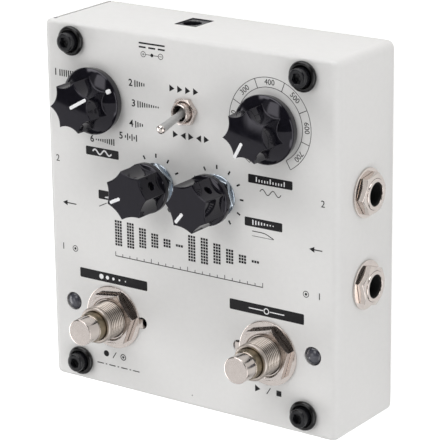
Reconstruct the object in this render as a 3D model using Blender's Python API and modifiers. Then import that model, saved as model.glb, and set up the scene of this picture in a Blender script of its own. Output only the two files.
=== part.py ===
"""Two-footswitch delay pedal, lying flat as it is used.

Frame: +Z out of the control panel, +Y towards the end with the power inlet,
+X towards the input sockets. The origin is under the feet, in the middle.
All named dimensions are millimetres; the scene is in metres.
"""

import math

import bmesh
import bpy
from mathutils import Matrix, Vector

MM = 0.001

# Enclosure
WIDTH = 109.2
LENGTH = 119.0
HEIGHT = 31.4
WALL = 1.2
BEND = 2.5  # outer radius of the folds beside the long sides
END_BEND = 1.4  # and of the tighter folds at the two ends
CORNER = 2.4  # upright corners
FEET = 2.0
PLATE = 1.5
FIT = 0.3  # clearance round a piece in its hole
SEAT = 0.1  # gap under a piece that is clamped down

TOP = FEET + HEIGHT  # outside of the panel
UNDER = TOP - WALL  # inside of the panel
SIDE = WIDTH / 2
END = LENGTH / 2

# Controls on the panel
SELECTOR = (-34.1, 36.1)
DIAL = (30.7, 36.4)
MIX = (-11.6, 12.1)
FEEDBACK = (11.3, 12.1)
TOGGLE = (0.1, 37.0)
SWITCH_X, SWITCH_Y = 29.7, -35.3
LED_X, LED_Y = 45.8, -33.05
SCREW_X, SCREW_Y_REAR, SCREW_Y_FRONT = 43.0, 53.8, -52.7
TAB_OFFSET = 11.2

# Pointer directions at rest, degrees anticlockwise from +X seen from above
SELECTOR_ANGLE = 30.0
DIAL_ANGLE = 240.0
MIX_ANGLE = 206.0
FEEDBACK_ANGLE = 230.0
TOGGLE_TILT = 13.0

# Sockets in the sides and the power inlet in the rear end
JACK_Z = FEET + 15.3
JACK_Y = {"rear": 16.0, "front": -13.1}
JACK_REACH = 3.6
JACK_NOSE = 4.8
JACK_NUT_AF = 11.6
JACK_NUT_TURN = {"rear_right": 7.3, "front_right": 40.0, "rear_left": 40.0, "front_left": 18.0}
INLET_X, INLET_Z = -10.4, FEET + 11.65
INLET_W, INLET_H = 8.0, 9.8

# Big knob: a bell-shaped skirt with an upright rim under a body with seven hollow flutes
BIG_LOBE, BIG_FLUTE, BIG_TOP = 8.3, 1.15, 13.2
BIG_SKIRT, BIG_FOOT, BIG_WAIST = 10.7, 0.6, 5.05
# Small knob: seven shallow flutes over a round base
SMALL_LOBE, SMALL_FLUTE, SMALL_TOP = 7.95, 0.55, 16.0
SMALL_BASE, SMALL_FOOT, SMALL_WAIST = 8.0, 4.5, 7.3
LOBES = 7

BUSH_R = 4.3  # threaded neck of a potentiometer
SHAFT_R = 3.0
POT_DEPTH = 9.0
BIG_BUSH_TOP, SMALL_BUSH_TOP = 2.9, 4.0
BIG_NUT_AF, SMALL_NUT_AF = 11.5, 12.2
CONTROL_Z = UNDER - SEAT - POT_DEPTH - FIT - 1.6  # underside of the control board

BUTTON_R, BUTTON_TOP, NECK_R, NECK_TOP = 4.7, 17.8, 6.0, 10.2
SWITCH_NUT_AF = 15.7
SWITCH_NUT_TURN = {"left": 7.6, "right": 14.4}
BUTTON_END = 8.5  # lower end of the plunger, under the panel
SPRING_FLOOR = 16.5
SWITCH_DEPTH = 18.0
BOARD_Z, BOARD_T = 6.4, 1.6

WHITE = ((0.80, 0.79, 0.77), 0.45, 0.0)
NICKEL = ((0.72, 0.68, 0.64), 0.18, 1.0)
ZINC = ((0.55, 0.55, 0.53), 0.35, 1.0)
STEEL = ((0.45, 0.45, 0.46), 0.35, 1.0)
BLACK_GLOSS = ((0.022, 0.021, 0.025), 0.16, 0.0)
BLACK_STEEL = ((0.018, 0.018, 0.02), 0.35, 0.6)
BLACK_PLASTIC = ((0.02, 0.02, 0.02), 0.45, 0.0)
RUBBER = ((0.025, 0.025, 0.025), 0.85, 0.0)
LENS = ((0.07, 0.075, 0.09), 0.12, 0.0)
GREEN_BOARD = ((0.02, 0.12, 0.06), 0.4, 0.0)
SPRING_WIRE = ((0.6, 0.6, 0.6), 0.25, 1.0)

for old in list(bpy.data.objects):
    bpy.data.objects.remove(old, do_unlink=True)

PARTS = bpy.data.collections.new("delay_pedal")
CUTTERS = bpy.data.collections.new("delay_pedal_cutters")
bpy.context.scene.collection.children.link(PARTS)
bpy.context.scene.collection.children.link(CUTTERS)
CUTTERS.hide_render = True


def finish(obj, look):
    colour, roughness, metallic = look
    material = bpy.data.materials.new(obj.name + "_finish")
    material.use_nodes = True
    bsdf = material.node_tree.nodes["Principled BSDF"]
    bsdf.inputs["Base Color"].default_value = (*colour, 1.0)
    bsdf.inputs["Roughness"].default_value = roughness
    bsdf.inputs["Metallic"].default_value = metallic
    material.diffuse_color = (*colour, 1.0)
    obj.data.materials.clear()
    obj.data.materials.append(material)
    return obj


def placed(name, mesh, at=(0, 0, 0), turn=(0, 0, 0), cutter=False):
    obj = bpy.data.objects.new(name, mesh)
    obj.location = Vector(at) * MM
    obj.rotation_euler = [math.radians(a) for a in turn]
    (CUTTERS if cutter else PARTS).objects.link(obj)
    if cutter:
        obj.hide_render = True
        obj.display_type = "WIRE"
    return obj


def cylinder(name, radius, z0, z1, at=(0, 0, 0), turn=(0, 0, 0), sides=24, cutter=False):
    bm = bmesh.new()
    bmesh.ops.create_cone(
        bm,
        cap_ends=True,
        segments=sides,
        radius1=radius * MM,
        radius2=radius * MM,
        depth=(z1 - z0) * MM,
        matrix=Matrix.Translation((0, 0, (z0 + z1) / 2 * MM)),
    )
    mesh = bpy.data.meshes.new(name)
    bm.to_mesh(mesh)
    bm.free()
    return placed(name, mesh, at, turn, cutter)


def box(name, lo, hi, at=(0, 0, 0), turn=(0, 0, 0), cutter=False):
    size = [(b - a) * MM for a, b in zip(lo, hi)]
    middle = [(a + b) / 2 * MM for a, b in zip(lo, hi)]
    bm = bmesh.new()
    bmesh.ops.create_cube(bm, size=1.0)
    bmesh.ops.scale(bm, vec=size, verts=bm.verts)
    bmesh.ops.translate(bm, vec=middle, verts=bm.verts)
    mesh = bpy.data.meshes.new(name)
    bm.to_mesh(mesh)
    bm.free()
    return placed(name, mesh, at, turn, cutter)


def turned(name, profile, at=(0, 0, 0), turn=(0, 0, 0), sides=24, cutter=False):
    """A profile of (radius, height) points, revolved about Z by a Screw modifier."""
    closed = profile[0][0] > 1e-6
    mesh = bpy.data.meshes.new(name)
    count = len(profile)
    edges = [(i, i + 1) for i in range(count - 1)]
    if closed:
        edges.append((count - 1, 0))
    mesh.from_pydata([(r * MM, 0, z * MM) for r, z in profile], edges, [])
    obj = placed(name, mesh, at, turn, cutter)
    screw = obj.modifiers.new("revolve", "SCREW")
    screw.angle = math.tau
    screw.steps = sides
    screw.render_steps = sides
    screw.use_merge_vertices = True
    screw.merge_threshold = 0.00001
    screw.use_smooth_shade = False
    return obj


def slab(name, outline, z0, z1, at=(0, 0, 0), turn=(0, 0, 0), cutter=False):
    """A flat outline made thick: a filled 2D curve, extruded and welded to a mesh."""
    curve = bpy.data.curves.new(name + "_outline", "CURVE")
    curve.dimensions = "2D"
    curve.fill_mode = "BOTH"
    curve.extrude = (z1 - z0) / 2 * MM
    spline = curve.splines.new("POLY")
    spline.points.add(len(outline) - 1)
    for point, (x, y) in zip(spline.points, outline):
        point.co = (x * MM, y * MM, 0, 1)
    spline.use_cyclic_u = True
    helper = bpy.data.objects.new(name + "_helper", curve)
    bpy.context.scene.collection.objects.link(helper)
    graph = bpy.context.evaluated_depsgraph_get()
    mesh = bpy.data.meshes.new_from_object(helper.evaluated_get(graph))
    bpy.data.objects.remove(helper, do_unlink=True)
    bpy.data.curves.remove(curve)
    bm = bmesh.new()
    bm.from_mesh(mesh)
    bmesh.ops.remove_doubles(bm, verts=bm.verts, dist=1e-6)
    bmesh.ops.recalc_face_normals(bm, faces=bm.faces)
    bmesh.ops.translate(bm, vec=(0, 0, (z0 + z1) / 2 * MM), verts=bm.verts)
    bm.to_mesh(mesh)
    bm.free()
    mesh.name = name
    return placed(name, mesh, at, turn, cutter)


def hexagon(across_flats, phase=0.0):
    r = across_flats / math.sqrt(3)
    return [
        (
            r * math.cos(math.radians(60 * i + phase)),
            r * math.sin(math.radians(60 * i + phase)),
        )
        for i in range(6)
    ]


def boolean(obj, other, operation, label):
    modifier = obj.modifiers.new(label, "BOOLEAN")
    modifier.operation = operation
    modifier.solver = "EXACT"
    modifier.object = other
    return modifier


def cut(obj, *tools):
    for tool in tools:
        boolean(obj, tool, "DIFFERENCE", "cut_" + tool.name)


def join(obj, *others):
    for other in others:
        boolean(obj, other, "UNION", "join_" + other.name)


def round_edges(obj, width, segments, angle=35):
    bevel = obj.modifiers.new("edges", "BEVEL")
    bevel.width = width * MM
    bevel.segments = segments
    bevel.limit_method = "ANGLE"
    bevel.angle_limit = math.radians(angle)


def smooth(obj):
    for polygon in obj.data.polygons:
        polygon.use_smooth = True
    for modifier in obj.modifiers:
        if modifier.type == "SCREW":
            modifier.use_smooth_shade = True


# ---------------------------------------------------------------- enclosure
def enclosure():
    """Folded cover: panel and four sides in one sheet, open underneath."""
    bm = bmesh.new()
    bmesh.ops.create_cube(bm, size=1.0)
    bmesh.ops.scale(bm, vec=(WIDTH * MM, LENGTH * MM, HEIGHT * MM), verts=bm.verts)
    bmesh.ops.translate(bm, vec=(0, 0, (FEET + HEIGHT / 2) * MM), verts=bm.verts)
    floor = [f for f in bm.faces if f.normal.z < -0.5]
    bmesh.ops.delete(bm, geom=floor, context="FACES_ONLY")
    layer = bm.edges.layers.float.new("bevel_weight_edge")
    for edge in bm.edges:
        a, b = edge.verts
        if min(a.co.z, b.co.z) > TOP * MM - 1e-5:
            edge[layer] = 1.0 if abs(a.co.y - b.co.y) > 1e-4 else END_BEND / BEND
        elif abs(a.co.z - b.co.z) > 1e-4:
            edge[layer] = CORNER / BEND
    mesh = bpy.data.meshes.new("enclosure_shell")
    bm.to_mesh(mesh)
    bm.free()
    shell = placed("enclosure_shell", mesh)
    bends = shell.modifiers.new("bends", "BEVEL")
    bends.limit_method = "WEIGHT"
    bends.width = BEND * MM
    bends.segments = 3
    sheet = shell.modifiers.new("sheet", "SOLIDIFY")
    sheet.thickness = WALL * MM
    sheet.offset = -1.0
    sheet.use_even_offset = True

    def through(name, radius, x, y, sides=18):
        return cylinder(name, radius, UNDER - 1.5, TOP + 1.5, (x, y, 0), sides=sides, cutter=True)

    cut(shell, through("hole_selector", BUSH_R + FIT, *SELECTOR))
    cut(shell, through("hole_dial", BUSH_R + FIT, *DIAL))
    cut(shell, through("hole_mix", BUSH_R + FIT, *MIX))
    cut(shell, through("hole_feedback", BUSH_R + FIT, *FEEDBACK))
    cut(shell, through("hole_toggle", 3.3, *TOGGLE, sides=16))
    for side, s in (("left", -1), ("right", 1)):
        cut(shell, through("hole_footswitch_" + side, NECK_R + FIT, s * SWITCH_X, SWITCH_Y, 22))
        cut(shell, through("hole_tab_" + side, 1.9, s * (SWITCH_X - TAB_OFFSET), SWITCH_Y, 14))
        cut(shell, through("hole_led_" + side, 3.0, s * LED_X, LED_Y, 20))
        for row, y in (("rear", SCREW_Y_REAR), ("front", SCREW_Y_FRONT)):
            cut(shell, through(f"hole_screw_{row}_{side}", 1.9, s * SCREW_X, y, 10))
        for row, y in JACK_Y.items():
            cut(
                shell,
                cylinder(
                    f"hole_jack_{row}_{side}",
                    JACK_NOSE + FIT,
                    SIDE - 4,
                    SIDE + 4,
                    (0, y, JACK_Z),
                    (0, 90 * s, 0),
                    18,
                    True,
                ),
            )
    cut(
        shell,
        box(
            "hole_inlet",
            (INLET_X - INLET_W / 2, END - 4, INLET_Z - INLET_H / 2),
            (INLET_X + INLET_W / 2, END + 4, INLET_Z + INLET_H / 2),
            cutter=True,
        ),
    )
    finish(shell, WHITE)


def round_uprights(obj, radius):
    """Rounds the four corners of an upright-sided box."""
    bm = bmesh.new()
    bm.from_mesh(obj.data)
    uprights = [e for e in bm.edges if abs(e.verts[0].co.z - e.verts[1].co.z) > 1e-5]
    bmesh.ops.bevel(bm, geom=uprights, offset=radius * MM, segments=3, profile=0.5, affect="EDGES")
    bm.to_mesh(obj.data)
    bm.free()


def base():
    """Steel plate that closes the cover, with four tapped pillars clinched in it."""
    x, y = SIDE - WALL - FIT, END - WALL - FIT
    plate = box("base_plate", (-x, -y, FEET), (x, y, FEET + PLATE))
    round_uprights(plate, 1.4)
    for side, s in (("left", -1), ("right", 1)):
        for row, yy in (("rear", SCREW_Y_REAR), ("front", SCREW_Y_FRONT)):
            name = f"pillar_{row}_{side}"
            pillar = cylinder(name, 3.0, FEET + 0.5, UNDER - SEAT, (s * SCREW_X, yy, 0), sides=12, cutter=True)
            join(plate, pillar)
            cut(plate, cylinder(name + "_thread", 1.8, UNDER - 15, UNDER + 2, (s * SCREW_X, yy, 0), sides=10, cutter=True))
    finish(plate, ZINC)
    for side, s in (("left", -1), ("right", 1)):
        for row, yy in (("rear", 46.0), ("front", -46.0)):
            foot = turned(
                f"foot_{row}_{side}",
                [(0, FEET - SEAT), (5.6, FEET - SEAT), (5.6, 0.6), (5.0, 0), (0, 0)],
                (s * 43.0, yy, 0),
                sides=20,
            )
            finish(foot, RUBBER)


def corner_fixings():
    for side, s in (("left", -1), ("right", 1)):
        for row, y in (("rear", SCREW_Y_REAR), ("front", SCREW_Y_FRONT)):
            at = (s * SCREW_X, y, TOP)
            cup = turned(
                f"cup_washer_{row}_{side}",
                [(4.1, 1.9), (4.75, 1.2), (4.3, SEAT), (1.9, SEAT), (1.9, 1.2), (3.45, 1.2), (3.6, 1.9)],
                at,
                sides=18,
            )
            finish(cup, RUBBER)
            screw = turned(
                f"corner_screw_{row}_{side}",
                [(0, 4.5), (2.7, 4.5), (3.0, 4.2), (3.0, 1.3), (1.5, 1.3), (1.5, -12.0), (0, -12.0)],
                at,
                sides=16,
            )
            cut(screw, slab(f"socket_{row}_{side}", hexagon(3.0, 10), 2.7, 6.0, at, cutter=True))
            finish(screw, BLACK_STEEL)


# ------------------------------------------------------------------- knobs
def lobed(radius, flute, steps):
    """Outline with LOBES sharp ridges and a hollow arc of depth `flute` between each two."""
    half = math.pi / LOBES
    chord = radius * math.cos(half)
    span = radius * math.sin(half)
    arc = (span * span + flute * flute) / (2 * flute)
    reach = math.asin(span / arc)
    points = []
    for lobe in range(LOBES):
        facing = (2 * lobe + 1) * half
        for step in range(steps):
            a = reach * (1 - 2 * step / steps)
            out = chord - flute + arc - arc * math.cos(a)
            across = -arc * math.sin(a)
            points.append(
                (
                    out * math.cos(facing) - across * math.sin(facing),
                    out * math.sin(facing) + across * math.cos(facing),
                )
            )
    return points


def big_knob(name, at, angle):
    knob = slab(name, lobed(BIG_LOBE, BIG_FLUTE, 5), BIG_WAIST - 0.6, BIG_TOP, (*at, TOP), (0, 0, angle))
    round_edges(knob, 0.35, 1, 60)
    skirt = turned(
        name + "_skirt",
        [(0, BIG_WAIST), (BIG_LOBE, BIG_WAIST), (9.45, 4.4), (BIG_SKIRT - 0.2, 3.65), (BIG_SKIRT, 3.3), (BIG_SKIRT - 0.5, BIG_FOOT), (0, BIG_FOOT)],
        (*at, TOP),
        (0, 0, angle),
        sides=35,
        cutter=True,
    )
    join(knob, skirt)
    cut(knob, cylinder(name + "_recess", 7.4, -1.0, BIG_BUSH_TOP + FIT, (*at, TOP), sides=20, cutter=True))
    cut(knob, cylinder(name + "_bore", SHAFT_R + FIT, 2.0, 11.0, (*at, TOP), sides=16, cutter=True))
    finish(knob, BLACK_GLOSS)


def small_knob(name, at, angle):
    knob = slab(name, lobed(SMALL_LOBE, SMALL_FLUTE, 4), SMALL_WAIST - 0.8, SMALL_TOP, (*at, TOP), (0, 0, angle))
    round_edges(knob, 0.35, 1, 60)
    base_ring = turned(
        name + "_base",
        [(0, SMALL_WAIST), (SMALL_LOBE - 0.35, SMALL_WAIST), (SMALL_BASE, SMALL_WAIST - 0.7), (SMALL_BASE, SMALL_FOOT), (0, SMALL_FOOT)],
        (*at, TOP),
        (0, 0, angle),
        sides=28,
        cutter=True,
    )
    join(knob, base_ring)
    cut(knob, cylinder(name + "_bore", SHAFT_R + FIT, 3.0, 13.0, (*at, TOP), sides=16, cutter=True))
    finish(knob, BLACK_GLOSS)


def rotary(names, at, bush_top, shaft_top, radius, nut_across, nut_phase, flange):
    """Potentiometer or rotary switch hung from the panel by its neck and nut."""
    body_name, shaft_name, nut_name = names
    top = UNDER - SEAT
    body = turned(
        body_name,
        [
            (0, top - POT_DEPTH + 1.0),
            (SHAFT_R + FIT, top - POT_DEPTH + 1.0),
            (SHAFT_R + FIT, TOP + bush_top),
            (BUSH_R, TOP + bush_top),
            (BUSH_R, top),
            (radius, top),
            (radius, top - POT_DEPTH),
            (0, top - POT_DEPTH),
        ],
        (*at, 0),
        sides=20,
    )
    finish(body, ZINC)
    shaft = turned(
        shaft_name,
        [(0, shaft_top), (SHAFT_R - 0.4, shaft_top), (SHAFT_R, shaft_top - 0.4), (SHAFT_R, -WALL - 7.0), (0, -WALL - 7.0)],
        (*at, TOP),
        sides=16,
    )
    finish(shaft, ZINC)
    nut = slab(nut_name, hexagon(nut_across, nut_phase), SEAT, 2.1, (*at, TOP))
    if flange:
        join(nut, cylinder(nut_name + "_flange", flange, SEAT, 0.6, (*at, TOP), sides=24, cutter=True))
    cut(nut, cylinder(nut_name + "_thread", BUSH_R + 0.2, -1, 4, (*at, TOP), sides=16, cutter=True))
    finish(nut, NICKEL)


def panel_controls():
    big_knob("selector_knob", SELECTOR, SELECTOR_ANGLE)
    big_knob("beat_knob", DIAL, DIAL_ANGLE)
    small_knob("mix_knob", MIX, MIX_ANGLE)
    small_knob("feedback_knob", FEEDBACK, FEEDBACK_ANGLE)
    rotary(("selector_switch", "selector_shaft", "selector_nut"), SELECTOR, BIG_BUSH_TOP, 10.6, 9.0, BIG_NUT_AF, 0, 0)
    rotary(("beat_pot", "beat_shaft", "beat_nut"), DIAL, BIG_BUSH_TOP, 10.6, 8.5, BIG_NUT_AF, 12, 0)
    rotary(("mix_pot", "mix_shaft", "mix_nut"), MIX, SMALL_BUSH_TOP, 12.6, 8.5, SMALL_NUT_AF, 20, 6.7)
    rotary(("feedback_pot", "feedback_shaft", "feedback_nut"), FEEDBACK, SMALL_BUSH_TOP, 12.6, 8.5, SMALL_NUT_AF, 46, 6.7)


# ------------------------------------------------------------------ toggle
def toggle():
    top = UNDER - SEAT
    body = box("toggle_switch", (-4.0, -6.5, top - POT_DEPTH), (4.0, 6.5, top), (*TOGGLE, 0))
    neck = turned(
        "toggle_neck",
        [(0, TOP + 4.5), (2.7, TOP + 4.5), (3.0, TOP + 4.2), (3.0, top - 1.0), (0, top - 1.0)],
        (*TOGGLE, 0),
        sides=18,
        cutter=True,
    )
    join(body, neck)
    cut(body, cylinder("toggle_mouth", 2.25, top - 7.0, TOP + 6, (*TOGGLE, 0), sides=16, cutter=True))
    finish(body, NICKEL)
    nut = slab("toggle_nut", hexagon(7.9, 6), SEAT, 1.7, (*TOGGLE, TOP))
    cut(nut, cylinder("toggle_nut_thread", 3.2, -1, 4, (*TOGGLE, TOP), sides=16, cutter=True))
    finish(nut, NICKEL)
    lever = turned(
        "toggle_lever",
        [
            (0, 13.1), (0.8, 12.95), (1.3, 12.4), (1.45, 11.6), (1.15, 1.6), (1.5, 0.8), (1.5, -0.8), (0.8, -1.6), (0.8, -5.0), (0, -5.0),
        ],
        (*TOGGLE, TOP + 1.0),
        (TOGGLE_TILT, 0, 0),
        sides=12,
    )
    finish(lever, STEEL)


# ------------------------------------------------------------ footswitches
def footswitch(side, s):
    at = (s * SWITCH_X, SWITCH_Y, TOP)
    top = -WALL - SEAT
    body = box(f"footswitch_body_{side}", (-8.5, -8.5, top - SWITCH_DEPTH), (8.5, 8.5, top), at)
    board_top = BOARD_Z + BOARD_T + FIT - TOP
    for row, y in enumerate((-5.0, 0.0, 5.0)):
        tag = box(f"footswitch_tag_{row}_{side}", (-1.0, y - 0.5, board_top), (1.0, y + 0.5, top - SWITCH_DEPTH + 0.5), at, cutter=True)
        join(body, tag)
    neck = turned(
        f"footswitch_neck_{side}",
        [(0, NECK_TOP), (NECK_R - 0.6, NECK_TOP), (NECK_R, NECK_TOP - 0.6), (NECK_R, top - 1.0), (0, top - 1.0)],
        at,
        sides=24,
        cutter=True,
    )
    join(body, neck)
    cut(body, cylinder(f"footswitch_bore_{side}", BUTTON_R + FIT, -SPRING_FLOOR, NECK_TOP + 2, at, sides=24, cutter=True))
    finish(body, NICKEL)
    button = turned(
        f"footswitch_button_{side}",
        [(0, BUTTON_TOP), (BUTTON_R - 0.45, BUTTON_TOP), (BUTTON_R, BUTTON_TOP - 0.45), (BUTTON_R, -BUTTON_END), (0, -BUTTON_END)],
        at,
        sides=24,
    )
    finish(button, NICKEL)
    nut = slab(f"footswitch_nut_{side}", hexagon(SWITCH_NUT_AF, SWITCH_NUT_TURN[side]), 0.9, 3.4, at)
    cut(nut, cylinder(f"footswitch_nut_thread_{side}", NECK_R + 0.2, 0, 5, at, sides=24, cutter=True))
    finish(nut, NICKEL)
    washer = turned(
        f"tab_washer_{side}",
        [(10.4, 0.8), (10.4, SEAT), (NECK_R + 0.25, SEAT), (NECK_R + 0.25, 0.8)],
        at,
        sides=28,
    )
    tongue = box(f"tongue_{side}", (-11.9, -1.4, -0.9), (-11.0, 1.4, 0.7), at, (0, 0, 0 if s > 0 else 180), cutter=True)
    arm = box(f"tongue_arm_{side}", (-11.5, -1.4, 0.2), (-9.6, 1.4, 0.7), at, (0, 0, 0 if s > 0 else 180), cutter=True)
    join(washer, arm, tongue)
    finish(washer, NICKEL)
    turns, per, low, high, coil, wire = 4, 9, -SPRING_FLOOR + 0.5, -BUTTON_END - 0.5, 3.7, 0.4
    curve = bpy.data.curves.new(f"footswitch_spring_{side}", "CURVE")
    curve.dimensions = "3D"
    curve.bevel_depth = wire * MM
    curve.bevel_resolution = 2
    curve.use_fill_caps = True
    spline = curve.splines.new("POLY")
    count = int(turns * per)
    spline.points.add(count)
    for i, point in enumerate(spline.points):
        t = i / count
        a = math.tau * turns * t
        point.co = (coil * math.cos(a) * MM, coil * math.sin(a) * MM, (low + (high - low) * t) * MM, 1)
    spring = bpy.data.objects.new(f"footswitch_spring_{side}", curve)
    spring.location = Vector(at) * MM
    PARTS.objects.link(spring)
    finish(spring, SPRING_WIRE)


# ---------------------------------------------------------- sockets, lights
def jack(row, side, s, y):
    """Quarter-inch socket: body on the board, threaded nose through the side wall."""
    at = (0, y, JACK_Z)
    turn = (0, 90 * s, 0)  # local +Z points out of the side
    inside = SIDE - WALL - SEAT
    x0, x1 = sorted((s * (inside - 25.0), s * inside))
    body = box(f"jack_{row}_{side}", (x0, -7.5, BOARD_Z + BOARD_T + FIT - JACK_Z), (x1, 7.5, 7.7), at)
    nose = turned(
        f"jack_nose_{row}_{side}",
        [(0, SIDE + JACK_REACH), (JACK_NOSE - 0.5, SIDE + JACK_REACH), (JACK_NOSE, SIDE + JACK_REACH - 0.5), (JACK_NOSE, inside - 1.0), (0, inside - 1.0)],
        at,
        turn,
        sides=20,
        cutter=True,
    )
    join(body, nose)
    cut(body, cylinder(f"jack_bore_{row}_{side}", 3.45, inside - 22.0, SIDE + 8, at, turn, 20, True))
    finish(body, BLACK_PLASTIC)
    washer = turned(
        f"jack_washer_{row}_{side}",
        [(7.75, SIDE + 0.7), (7.75, SIDE + SEAT), (JACK_NOSE + 0.25, SIDE + SEAT), (JACK_NOSE + 0.25, SIDE + 0.7)],
        at,
        turn,
        sides=24,
    )
    finish(washer, NICKEL)
    nut = slab(f"jack_nut_{row}_{side}", hexagon(JACK_NUT_AF, JACK_NUT_TURN[f"{row}_{side}"]), SIDE + 0.8, SIDE + 2.6, at, turn)
    cut(nut, cylinder(f"jack_nut_thread_{row}_{side}", JACK_NOSE + 0.2, SIDE, SIDE + 5, at, turn, 18, True))
    finish(nut, NICKEL)


def power_inlet():
    inside = END - WALL - SEAT
    body = box(
        "dc_inlet",
        (INLET_X - 4.8, inside - 13.5, BOARD_Z + BOARD_T + FIT),
        (INLET_X + 4.8, inside, INLET_Z + 5.4),
    )
    snout = box(
        "dc_inlet_snout",
        (INLET_X - INLET_W / 2 + 0.25, inside - 1.0, INLET_Z - INLET_H / 2 + 0.25),
        (INLET_X + INLET_W / 2 - 0.25, END - 0.6, INLET_Z + INLET_H / 2 - 0.25),
        cutter=True,
    )
    join(body, snout)
    at, turn = (INLET_X, inside, INLET_Z - 0.3), (-90, 0, 0)
    cut(body, cylinder("dc_inlet_bore", 3.0, -10.0, 4.0, at, turn, 20, True))
    join(body, cylinder("dc_inlet_pin", 1.05, -10.8, -0.4, at, turn, 12, True))
    finish(body, BLACK_PLASTIC)


def lights():
    """Domed lens flush in the panel, standing with its spacer on the control board."""
    for side, s in (("left", -1), ("right", 1)):
        lens = turned(
            f"status_led_{side}",
            [
                (0, 0.7), (1.3, 0.5), (2.2, 0.0), (2.65, -0.8), (2.65, -WALL - SEAT), (3.4, -WALL - SEAT),
                (3.4, CONTROL_Z + BOARD_T + FIT - TOP), (0, CONTROL_Z + BOARD_T + FIT - TOP),
            ],
            (s * LED_X, LED_Y, TOP),
            sides=18,
        )
        finish(lens, LENS)


# ------------------------------------------------------------------ boards
def boards():
    """Main board under the sockets, and a control board behind the panel parts."""
    top = BOARD_Z + BOARD_T
    board = slab(
        "main_board",
        [(-50, -47.5), (50, -47.5), (50, 48), (-2.5, 48), (-2.5, 57), (-18.5, 57), (-18.5, 48), (-50, 48)],
        BOARD_Z,
        top,
    )
    header = box("header", (-12.7, 38.0, top - 0.2), (12.7, 43.0, CONTROL_Z - FIT), cutter=True)
    join(board, header)
    for i, (x, y, w, d, h) in enumerate(((0, -6, 14, 14, 1.5), (-14, 8, 10, 6, 1.6), (14, 8, 12, 8, 1.5))):
        join(board, box(f"chip_{i}", (x - w / 2, y - d / 2, top - 0.2), (x + w / 2, y + d / 2, top + h), cutter=True))
    for i, (x, y) in enumerate(((-36, 38), (-28, 38))):
        join(board, cylinder(f"capacitor_{i}", 3.0, top - 0.2, top + 7.0, (x, y, 0), sides=12, cutter=True))
    finish(board, GREEN_BOARD)
    right = [(41, -26.2), (41, -40), (50.5, -40), (50.5, -21.2), (24, -21.2), (24, 26), (42, 26), (42, 46)]
    left = [(-x, y) for x, y in reversed(right)]
    control = slab("control_board", [*right, *left], CONTROL_Z, CONTROL_Z + BOARD_T)
    finish(control, GREEN_BOARD)


enclosure()
base()
corner_fixings()
panel_controls()
toggle()
for side_name, sign in (("left", -1), ("right", 1)):
    footswitch(side_name, sign)
    for row_name, row_y in JACK_Y.items():
        jack(row_name, side_name, sign, row_y)
power_inlet()
lights()
boards()
for thing in PARTS.objects:
    if thing.type == "MESH" and any(k in thing.name for k in ("knob", "screw", "washer", "button", "shaft", "lever", "led", "foot_")):
        smooth(thing)
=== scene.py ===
"""Looks of the two-footswitch delay pedal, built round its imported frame.

Frame: +Z out of the control panel, +Y towards the end with the power inlet,
+X towards the input sockets. Dimensions below are millimetres.
"""

import math

import bmesh
import bpy
import numpy as np
from mathutils import Matrix, Vector


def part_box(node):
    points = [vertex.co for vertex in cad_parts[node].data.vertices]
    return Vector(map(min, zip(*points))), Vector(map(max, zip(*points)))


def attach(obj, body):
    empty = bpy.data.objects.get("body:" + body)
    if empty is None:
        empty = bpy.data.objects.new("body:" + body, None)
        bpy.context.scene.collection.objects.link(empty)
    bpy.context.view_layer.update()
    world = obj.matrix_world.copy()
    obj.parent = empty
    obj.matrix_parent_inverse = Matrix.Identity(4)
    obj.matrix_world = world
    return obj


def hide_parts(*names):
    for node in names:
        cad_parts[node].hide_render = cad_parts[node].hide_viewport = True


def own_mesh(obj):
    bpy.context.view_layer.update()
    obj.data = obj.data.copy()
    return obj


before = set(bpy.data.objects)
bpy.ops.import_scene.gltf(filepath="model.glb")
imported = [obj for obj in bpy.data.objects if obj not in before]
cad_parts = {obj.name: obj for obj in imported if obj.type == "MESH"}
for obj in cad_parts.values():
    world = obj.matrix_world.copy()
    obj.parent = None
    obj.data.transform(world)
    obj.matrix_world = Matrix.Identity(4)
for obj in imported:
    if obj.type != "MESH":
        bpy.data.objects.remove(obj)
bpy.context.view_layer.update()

MM = 0.001
WIDTH, LENGTH, HEIGHT = 109.2, 119.0, 31.4
WALL, FEET = 1.2, 2.0
BEND, END_BEND, CORNER = 2.5, 1.4, 2.4  # folds beside the long sides, at the ends, and the uprights
TOP = FEET + HEIGHT
UNDER = TOP - WALL
SIDE, END = WIDTH / 2, LENGTH / 2
SELECTOR, DIAL, MIX, FEEDBACK, TOGGLE = (-34.1, 36.1), (30.7, 36.4), (-11.6, 12.1), (11.3, 12.1), (0.1, 37.0)
SWITCH_X, SWITCH_Y = 29.7, -35.3
LED_X, LED_Y = 45.8, -33.05
SCREW_X, SCREW_Y = 43.0, {"rear": 53.8, "front": -52.7}
TAB_OFFSET = 11.2
SEAM_X = 51.4
SIDES = (("left", -1), ("right", 1))
JACK_Y = {"rear": 16.0, "front": -13.1}
JACK_Z = FEET + 15.3
JACK_NUT_TURN = {"rear_right": 6.5, "front_right": 43.0, "rear_left": 40.0, "front_left": 18.0}
INLET_X, INLET_Z, INLET_W, INLET_H = -10.4, FEET + 11.65, 8.0, 9.8
LOBES = 7
HOUSING = "housing"


# ---------------------------------------------------------------- materials
def node(tree, kind, **values):
    made = tree.nodes.new(kind)
    for key, value in values.items():
        if hasattr(made, key) and key not in made.inputs:
            setattr(made, key, value)
        else:
            made.inputs[key].default_value = value
    return made


def noise(tree, coords, scale, detail=3.0, rough=0.55, stretch=None):
    source = coords
    if stretch:
        mapping = node(tree, "ShaderNodeMapping")
        mapping.inputs["Scale"].default_value = stretch
        tree.links.new(coords, mapping.inputs["Vector"])
        source = mapping.outputs["Vector"]
    made = node(tree, "ShaderNodeTexNoise", Scale=scale, Detail=detail, Roughness=rough)
    tree.links.new(source, made.inputs["Vector"])
    return made.outputs["Fac"]


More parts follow.
